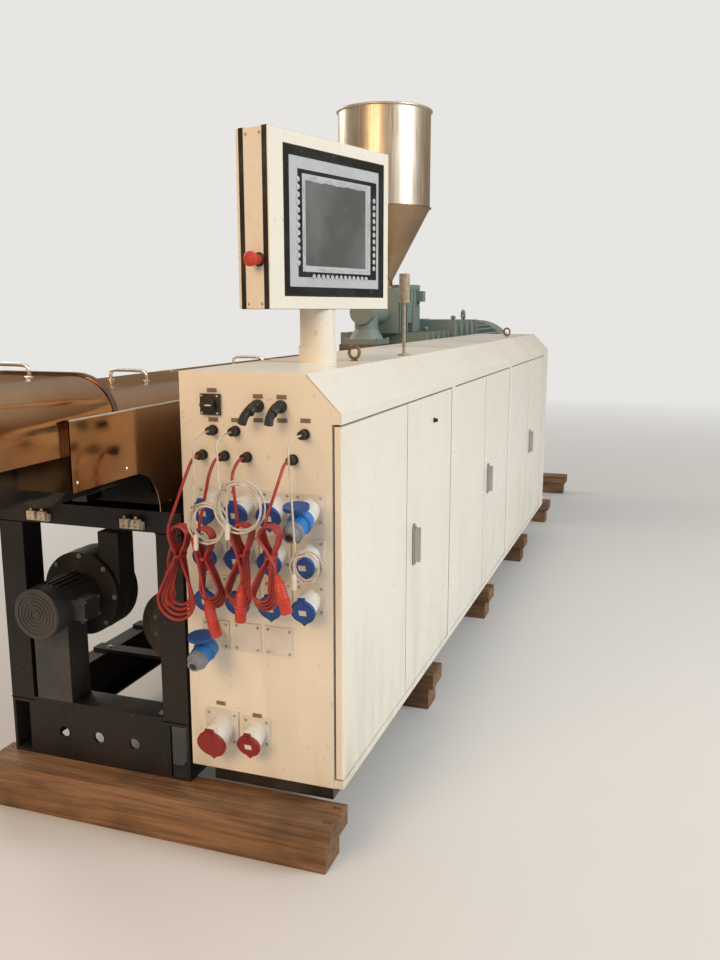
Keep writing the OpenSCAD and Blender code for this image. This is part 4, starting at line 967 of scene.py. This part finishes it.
# Barrel: machined steel tube in stainless heater bands, drawn tight by straps and clamp screws below.
# It is bolted to the distribution gearbox through its rear flange.
machined = worn(principled("machined_steel", (0.30, 0.30, 0.31), 0.35, metallic=1), (0.14, 0.135, 0.13),
                (0.08, 0.07, 0.06), (0.05, 0.042, 0.036), dust=0.7, rough=(0.3, 0.55))
dress(machined, "barrel")
band_steel = worn(principled("band_steel", (0.10, 0.095, 0.09), 0.4, metallic=1), (0.085, 0.08, 0.075),
                  (0.05, 0.042, 0.036), (0.2, 0.17, 0.14), dust=0.6)
dress(band_steel, "heater_bands")
axis_y, axis_z, band_radius = 760, 925, 110
band_start, band_pitch, band_length, band_count = -200, 490, 420, 5
strap_low, strap_high, strap_width, strap_inset = band_radius + 0.2, band_radius + 1.8, 26, 12
clamp_foot = axis_z - 128
rear_flange_x, feed_port_x, port_top, port_bolt = 2670, 2435, 1165, 88
along_axis = Matrix.Translation((0, axis_y, axis_z)) @ Matrix.Rotation(math.radians(90), 4, "Y")


def bolt_circle(mesh, centre, radius, count, size, axis, start=0.5):
    """Hexagon bolts evenly round a flange that faces along the machine or upward."""
    x, y, z = centre
    for k in range(count):
        a = 2 * math.pi * (k + start) / count
        across, up = radius * math.cos(a), radius * math.sin(a)
        hexagon(mesh, (x + across, y + up, z) if axis[2] else (x, y + across, z + up), size, axis)


clamps, clamp_screws = bmesh.new(), bmesh.new()
for k in range(band_count):
    x0 = band_start + k * band_pitch
    for part in range(3):
        x = x0 + strap_inset + part * (band_length - 84) / 2
        strap = [(x, strap_low), (x, strap_high), (x + strap_width, strap_high), (x + strap_width, strap_low)]
        lathe_ring(clamps, strap, along_axis, 64)
    middle_x = x0 + band_length / 2
    block(clamps, (middle_x - 35, axis_y - 24, clamp_foot), (middle_x + 35, axis_y + 24, axis_z - 104))
    for side in (-1, 1):
        screw(clamp_screws, (middle_x + side * 22, axis_y, clamp_foot), 5, (0, 0, -1))
make("band_clamps", clamps, band_steel)
make("band_screws", clamp_screws, brass)
mesh = bmesh.new()
bolt_circle(mesh, (rear_flange_x, axis_y, axis_z), 122, 12, 9, (-1, 0, 0))
for a in (-port_bolt, port_bolt):
    for b in (-port_bolt, port_bolt):
        hexagon(mesh, (feed_port_x + a, axis_y + b, port_top), 8, (0, 0, 1))
make("barrel_bolts", mesh, zinc)

# Hoods and trough: mirror-polished stainless sheet, folded and riveted, resting in the trough's top folds.
# The front hood lifts off by its two handles, the rear one by its three.
rolled_group, rolled_in, rolled_out = new_group(
    "rolled sheet", [("Stretch", "NodeSocketVector", (1, 1, 1))],
    [("Streaks", "NodeSocketFloat"), ("Clouds", "NodeSocketFloat")])
streaks = texture_at(rolled_group, (1, 1, 1), 5.0, 4)
streak_mapping = streaks.inputs["Vector"].links[0].from_node
rolled_group.links.new(rolled_in.outputs["Stretch"], streak_mapping.inputs["Scale"])
rolled_group.links.new(streaks.outputs[0], rolled_out.inputs["Streaks"])
clouds = texture_at(rolled_group, (1, 1, 1), 3.0, 5, 0.6)
rolled_group.links.new(clouds.outputs[0], rolled_out.inputs["Clouds"])


def sheet_metal(name, colour, second, rough_low, rough_high, stretch, height):
    """Bright sheet with streaks along the rolling direction given by the stretch."""
    material = principled(name, colour, rough_low, metallic=1)
    tree = material.node_tree
    shader = tree.nodes["Principled BSDF"]
    rolled = tree.nodes.new("ShaderNodeGroup")
    rolled.node_tree = rolled_group
    rolled.inputs["Stretch"].default_value = stretch
    streaks, clouds = rolled.outputs["Streaks"], rolled.outputs["Clouds"]
    tree.links.new(mix(tree, ramp(tree, clouds, 0.4, 0.7), colour, second), shader.inputs["Base Color"])
    tree.links.new(ramp(tree, streaks, 0.3, 0.75, rough_low, rough_high), shader.inputs["Roughness"])
    tree.links.new(bump(tree, streaks, height), shader.inputs["Normal"])
    return material


# The sheet's brown colours are painted reflection of the brown hall that the polished stainless mirrors; the
# steel itself is near white.
mirror_sheet = sheet_metal("mirror_sheet", (0.44, 0.262, 0.135), (0.30, 0.160, 0.078), 0.08, 0.2,
                           (0.6, 8, 8), 0.0003)
dress(mirror_sheet, "barrel_hoods")
edge_steel = worn(principled("edge_steel", (0.8, 0.79, 0.77), 0.15, metallic=1), (0.85, 0.84, 0.82),
                  (0.6, 0.57, 0.52), (0.4, 0.36, 0.3), patch=20, dust=0.4, rough=(0.1, 0.3))
hood_half, hood_foot, hood_top, hood_round = 225.7, 987, 1156, 110
guard_end, trough_lead, trough_half, trough_low, trough_lip, trough_top = 2240, -370, 240, 780, 902, 1070
clear, tray_top, fold, gauge, swell_length = 91, 985, 14, 2, 110
mesh, folds = bmesh.new(), bmesh.new()
swell = [(swell_length * (math.sin(a) - 1), trough_low + (trough_lip - trough_low) * math.cos(a))
         for a in (math.radians(11.25 * k) for k in range(9))]
for side in (-1, 1):
    outline = [(trough_lead, trough_lip)] + swell
    outline += [(guard_end, trough_low), (guard_end, trough_top), (trough_lead, trough_top)]
    edge = axis_y + side * trough_half
    slab(mesh, outline, edge, edge - gauge * side, lambda x, z, y: (x, y, z))
    ear = [(trough_half, trough_lip), (clear, trough_lip), (clear, tray_top), (trough_half - fold, tray_top),
           (trough_half - fold, trough_top), (trough_half, trough_top)]
    mirrored = [(side * y, z) for y, z in ear]
    slab(mesh, mirrored, trough_lead, trough_lead + gauge, lambda y, z, x: (x, axis_y + y, z))
    inner = edge - fold * side
    block(folds, (trough_lead, min(edge, inner), trough_top - gauge),
          (guard_end, max(edge, inner), trough_top))
    bead = [Vector((x, edge - 1.5 * side, trough_top - 1.5)) for x in (trough_lead, 0, guard_end)]
    pipe(folds, bead, 2.6, sides=10, side_hint=(0, 0, 1))
cradle = [(clear * math.cos(a), axis_z - clear * math.sin(a)) for a in (math.pi * k / 16 for k in range(17))]
end_sheet = [(trough_half, trough_low), (trough_half, tray_top), (clear, tray_top)] + cradle
end_sheet += [(-clear, tray_top), (-trough_half, tray_top), (-trough_half, trough_low)]
slab(mesh, end_sheet, guard_end - gauge, guard_end, lambda y, z, x: (x, axis_y + y, z))
make("trough_sheets", mesh, mirror_sheet, stands_for=("barrel_trough",))
make("trough_folds", folds, edge_steel)


def hood_line(half, top, radius, foot):
    """Points across a hood's section from one foot over the top to the other."""
    side = [(-half, foot), (-half, top - radius)]
    for k in range(1, 9):
        a = math.radians(180 - 90 * k / 8)
        side.append((-half + radius + radius * math.cos(a), top - radius + radius * math.sin(a)))
    return side + [(-y, z) for y, z in reversed(side)]


def hood_band(mesh, x0, x1, half, top, radius, thick, foot=hood_foot):
    """A flat strip laid over a hood."""
    inner, outer = (hood_line(half + t, top + t, radius + t, foot) for t in (0, thick))
    edges = ((x0, inner), (x0, outer), (x1, outer), (x1, inner))
    corners = [[mesh.verts.new((x, axis_y + y, z)) for y, z in line] for x, line in edges]
    for first, second in zip(corners, corners[1:] + corners[:1]):
        for k in range(len(first) - 1):
            mesh.faces.new((first[k], first[k + 1], second[k + 1], second[k]))
    for k in (0, -1):
        mesh.faces.new([line[k] for line in corners])


rear_top, rear_round, hood_joint, hood_lead = hood_top - 46, 100, -156, -596
seam_places, seam_width, rivet_radius, rivet_pitch = (640, 1440), 24, 3.5, 200
# The dark brown band laid over the front hood's rear rim is painted reflection: it stands for the dark that
# the rim's flanged face reflects.
painted_rim_reflection = worn(principled("painted_rim_reflection", (0.05, 0.02, 0.012), 0.35, coat=0.3), (0.05, 0.02, 0.012),
                  (0.09, 0.045, 0.025), (0.2, 0.12, 0.08), patch=20, dust=0.7)
mesh = bmesh.new()
hood_band(mesh, hood_joint - 14, hood_joint + 4, hood_half + 0.1, hood_top + 3.1, hood_round + 3, 3,
          trough_top + 3)
make("hood_rim_dark_reflection", mesh, painted_rim_reflection, rounded=1)
mesh = bmesh.new()
hood_band(mesh, hood_lead, hood_lead + 10, hood_half - 3, hood_top, hood_round, 2)
for x in seam_places:
    hood_band(mesh, x, x + seam_width, hood_half - 0.5, rear_top, rear_round, 1.5)
hood_band(mesh, guard_end - 14, guard_end - 4, hood_half - 0.5, rear_top, rear_round, 1.5)
make("hood_seams", mesh, edge_steel, rounded=0.4)
rivets = bmesh.new()
for x, top in [(hood_lead + 5, hood_top)] + [(x + seam_width / 2, rear_top) for x in seam_places]:
    for y in (-100, 0, 100):
        screw(rivets, (x, axis_y + y, top + 1.5), rivet_radius, (0, 0, 1))
    for side in (-1, 1):
        screw(rivets, (x, axis_y + side * (hood_half + 0.5), 1015), rivet_radius, (0, side, 0))
for x in range(trough_lead + 20, guard_end, rivet_pitch):
    z = (trough_lip if x < -60 else trough_low) + 22
    for side in (-1, 1):
        screw(rivets, (x, axis_y + side * trough_half, z), 4, (0, side, 0))
make("sheet_rivets", rivets, edge_steel)
grip_half = 60
grip_line = ((-grip_half, -2), (-grip_half, 18), (-50, 28), (0, 30), (50, 28), (grip_half, 18),
             (grip_half, -2))
handle_places = [(x, hood_top) for x in (-470, -270)] + [(x, rear_top) for x in (240, 1040, 1840)]
handles = bmesh.new()
for x, top in handle_places:
    grip = smooth([Vector((x, axis_y + y, top + up)) for y, up in grip_line], 4)
    pipe(handles, grip, 5, sides=12)
    for y in (-grip_half, grip_half):
        lathe(handles, [(0, 12), (2, 12), (3, 9)], (x, axis_y + y, top), sides=20)
make("hood_handles", handles, edge_steel)

# Blowers: cast black housings that blow air up round the barrel, driven by finned grey motors on brackets.
# Each motor has cooling fins, a fan cowl with a slotted end, and a terminal box with a screwed lid.
blower_black = worn(principled("blower_black", (0.012, 0.012, 0.013), 0.5), (0.009, 0.009, 0.01),
                    (0.03, 0.027, 0.025), (0.07, 0.06, 0.05), patch=8, dust=0.7, height=0.0012,
                    rough=(0.42, 0.7))
dress(blower_black, "cooling_blowers")
motor_grey = worn(principled("motor_grey", (0.03, 0.033, 0.038), 0.45), (0.03, 0.033, 0.038),
                  (0.07, 0.065, 0.06), (0.13, 0.12, 0.11), patch=9, dust=0.7)
dress(motor_grey, "blower_motors")
blower_places, blower_y, blower_z, motor_radius = (150, 950, 1750), 905, 465, 72
fin_count, gap_start, gap_end = 30, 0.72 * math.pi, 1.75 * math.pi
cowl_profile = [(0, 60), (1.5, 70), (4, 75), (46, 76), (47, 73)]
shaft = Matrix.Translation((0, blower_y, blower_z))
fins, cowls, blower_bolts, box_lids = (bmesh.new() for _ in range(4))
for x in blower_places:
    for k in range(fin_count):
        a = math.pi * (2 * k + 1) / fin_count
        if not gap_start < a < gap_end:
            around = shaft @ Matrix.Rotation(a, 4, "X")
            block(fins, (x - 150, motor_radius - 1, -1.5), (x - 20, motor_radius + 6, 1.5), around)
    lathe(cowls, cowl_profile, (x - 211, blower_y, blower_z), (1, 0, 0), 40)
    for radius in range(14, 69, 11):
        lathe_ring(fins, [(x - 213, radius), (x - 213, radius + 3), (x - 210, radius + 3)],
                   shaft @ Matrix.Rotation(math.radians(90), 4, "Y"), 32)
    bolt_circle(blower_bolts, (x, blower_y, blower_z), 118, 8, 6, (-1, 0, 0), start=0)
    lathe(fins, [(0, 128), (3, 131), (8, 131), (10, 128)], (x + 50, blower_y, blower_z), (1, 0, 0), 48)
    block(box_lids, (x - 142, blower_y - 115, blower_z - 32), (x - 68, blower_y - 109, blower_z + 32))
    for a in (x - 136, x - 74):
        for b in (blower_z - 26, blower_z + 26):
            screw(blower_bolts, (a, blower_y - 115, b), 4, (0, -1, 0))
    lathe(box_lids, [(0, 12), (8, 12), (9, 10), (20, 9)], (x - 105, blower_y - 80, blower_z - 30),
          (0, 0, -1), 16)
make("motor_fins", fins, motor_grey)
make("motor_cowls", cowls, motor_grey)
make("terminal_lids", box_lids, motor_grey, rounded=1.5)
make("blower_bolts", blower_bolts, zinc)

# Vacuum tank: welded vessel in olive paint on two saddles, with weld beads round its shell.
# A bolted cover closes its front end, and two flanged ports stand on top.
tank_paint = worn(principled("tank_paint", (0.16, 0.17, 0.12), 0.4), (0.085, 0.088, 0.062),
                  (0.14, 0.13, 0.10), (0.05, 0.045, 0.035), patch=6, dust=0.7)
dress(tank_paint, "vacuum_tank")
tank_y, tank_z, tank_radius, port_x, port_bolts_z = 690, 320, 120, 470, 483
mesh = bmesh.new()
weld_places = (334, 420, 660, 746)
weld_bead = [(-3, tank_radius), (-1, tank_radius + 2.5), (1, tank_radius + 2.5), (3, tank_radius)]
for x in weld_places:
    lathe(mesh, weld_bead, (x, tank_y, tank_z), (1, 0, 0), 48)
lathe(mesh, [(0, 88), (6, 88), (7, 84)], (330, tank_y, tank_z), (-1, 0, 0), 40)
for x, r in ((port_x, 24), (600, 16)):
    port = [(0, r), (34, r), (34, r + 12), (44, r + 12), (46, r + 9)]
    lathe(mesh, port, (x, tank_y, tank_z + tank_radius - 3), sides=28)
make("tank_fittings", mesh, tank_paint)
mesh = bmesh.new()
bolt_circle(mesh, (323, tank_y, tank_z), 72, 8, 6, (-1, 0, 0))
bolt_circle(mesh, (port_x, tank_y, port_bolts_z), 30, 4, 4, (0, 0, 1))
lathe(mesh, [(0, 14), (8, 14), (9, 11)], (540, tank_y - tank_radius + 2, tank_z), (0, -1, 0), 20)
make("tank_bolts", mesh, zinc)

# Feeder and hopper: grey-green cast throat and gear box, with a hopper in bright rolled sheet above it.
# The hopper has a lapped seam down its back, a flange ring at the cone and a flanged outlet.
machine_paint = worn(principled("machine_paint", (0.22, 0.30, 0.28), 0.42), (0.17, 0.235, 0.21),
                     (0.24, 0.25, 0.22), (0.08, 0.075, 0.065), patch=5, dust=0.65, marks=0.5, height=0.0009)
dress(machine_paint, "feeder_housing", "distribution_gearbox", "reduction_gearbox", "main_motor",
      "feeder_motor")
# The hopper sheet's warm tint and the cone's brown are painted reflection of the warm, brown hall round the
# bright steel.
hopper_sheet = sheet_metal("hopper_sheet", (0.66, 0.60, 0.50), (0.50, 0.42, 0.31), 0.3, 0.5, (22, 22, 0.7),
                           0.0003)
cone_sheet = sheet_metal("cone_sheet", (0.36, 0.25, 0.15), (0.26, 0.17, 0.10), 0.25, 0.45, (18, 18, 1.2),
                         0.0004)
dress(hopper_sheet, "hopper_shell")
dress(cone_sheet, "hopper_cone")
hopper_x, hopper_radius, cone_top, hopper_rim, box_top, seam_heading = 2730, 245, 1848, 2340, 1430, -40
mesh = bmesh.new()
block(mesh, (-15, hopper_radius - 2, cone_top + 2), (15, hopper_radius + 2, hopper_rim - 14),
      Matrix.Translation((hopper_x, axis_y, 0)) @ Matrix.Rotation(math.radians(seam_heading), 4, "Z"))
make("hopper_seam", mesh, hopper_sheet, rounded=0.8)
ring_radius, throat_bolts = hopper_radius + 8, (2660, 2695, 2765, 2800)
mesh = bmesh.new()
for k in range(16):
    away = Vector((math.cos(math.pi * k / 8), math.sin(math.pi * k / 8), 0))
    screw(mesh, Vector((hopper_x, axis_y, cone_top - 2)) + ring_radius * away, 3.2, away)
bolt_circle(mesh, (hopper_x, axis_y, box_top + 8), 60, 8, 5, (0, 0, 1))
bolt_circle(mesh, (feed_port_x, axis_y, port_top), 80, 8, 6, (0, 0, 1))
for x in throat_bolts:
    for side in (-1, 1):
        hexagon(mesh, (x, axis_y + side * 95, 1300), 6, (0, side, 0))
make("feeder_bolts", mesh, zinc)
mesh = bmesh.new()
feeder_x = hopper_x + 400
upright = Matrix.Translation((feeder_x, axis_y, 0))
stand_round(mesh, (87, -1.5, 1345), (92, 1.5, 1425), 26, upright)
for radius in range(20, 81, 15):
    lathe_ring(mesh, [(1454, radius), (1456, radius + 2), (1454, radius + 4)], upright, 36)
block(mesh, (feeder_x - 30, axis_y - 120, 1360), (feeder_x + 30, axis_y - 85, 1420))
make("feeder_motor_fins", mesh, machine_paint)

# Drive: ribbed cast gearboxes and a finned main motor in grey-green enamel, bolted to their pedestals.
# Split-line bolts, breathers, sight glasses, a motor terminal box and a slotted fan cowl finish them.
dark_glass = worn(principled("oil_glass", (0.25, 0.12, 0.02), 0.1, coat=0.5), (0.25, 0.12, 0.02),
                  (0.12, 0.06, 0.02), (0.3, 0.25, 0.2), patch=30)
bolts, caps, glasses = (bmesh.new() for _ in range(3))
split, split_half, bolt_size = axis_z, 16, 10
cases = ((2720, 520, 248, 680, 1190), (3300, 640, 268, 640, 1250))
for x0, length, half, foot, lid in cases:
    pitch, end = (length - 24) / 4, x0 + length
    for side in (-1, 1):
        y0, y1 = sorted((axis_y + side * half, axis_y + side * (half + 10)))
        block(caps, (x0 + 4, y0, split - split_half), (end - 4, y1, split + split_half))
        for k in range(4):
            x = x0 + 12 + pitch * (k + 0.5)
            hexagon(bolts, (x, axis_y + side * (half + 5), split + split_half), bolt_size, (0, 0, 1))
            hexagon(bolts, (x, axis_y + side * (half - 4), foot), bolt_size, (0, 0, 1))
    cover_x, top = x0 + length / 2 - 45, lid - 20
    lathe(caps, [(0, 70), (12, 70), (14, 66), (14, 40), (26, 38), (28, 30)], (cover_x, axis_y, top), sides=40)
    bolt_circle(bolts, (cover_x, axis_y, top + 14), 56, 6, 6, (0, 0, 1), start=0)
    lathe(caps, [(0, 9), (24, 9), (24, 16), (40, 16), (46, 8)], (end - 60, axis_y - 120, top), sides=20)
    glass_place = (x0 + 12 + pitch * 1.5, axis_y - half + 18, split - 90)
    lathe(bolts, [(0, 22), (8, 22), (9, 20)], glass_place, (0, -1, 0), 28)
    lathe(glasses, [(8.5, 15), (10, 13)], glass_place, (0, -1, 0), 28)
motor_x, motor_end, box_face = 4180, 5290, axis_y - 402
block(caps, (motor_x + 300, axis_y - 395, axis_z - 20), (motor_x + 560, axis_y - 285, axis_z + 190))
block(caps, (motor_x + 292, box_face, axis_z - 28), (motor_x + 568, axis_y - 393, axis_z + 198))
for x in (motor_x + 306, motor_x + 554):
    for z in (axis_z - 14, axis_z + 184):
        screw(bolts, (x, box_face, z), 8, (0, -1, 0))
for x in (motor_x + 380, motor_x + 480):
    lathe(bolts, [(0, 26), (14, 26), (16, 22), (34, 20)], (x, axis_y - 340, axis_z - 20), (0, 0, -1), 20)
bolt_circle(bolts, (motor_x + 2, axis_y, axis_z), 280, 12, bolt_size, (-1, 0, 0))
for k in range(12):
    around = Matrix.Translation((0, axis_y, axis_z)) @ Matrix.Rotation(math.pi * (k + 0.5) / 6, 4, "X")
    block(caps, (motor_end - 250, 305, -2), (motor_end - 60, 308.5, 2), around)
for radius in range(40, 249, 26):
    rib = [(motor_end - 2, radius), (motor_end - 0.2, radius + 4), (motor_end - 2, radius + 8)]
    lathe_ring(caps, rib, along_axis, 48)
for x in (motor_x + 180, motor_x + 680):
    for y in (axis_y - 275, axis_y + 275):
        hexagon(bolts, (x, y, axis_z - 230), 11, (0, 0, 1))
make("drive_bolts", bolts, zinc)
make("drive_castings", caps, machine_paint, rounded=2)
make("oil_glasses", glasses, dark_glass)
guard_ring_places = (3960, 4050, 4140)
mesh = bmesh.new()
for x in guard_ring_places:
    lathe(mesh, [(-6, 150), (-4, 153), (4, 153), (6, 150)], (x, axis_y, axis_z), (1, 0, 0), 48)
make("guard_rings", mesh, frame_paint)
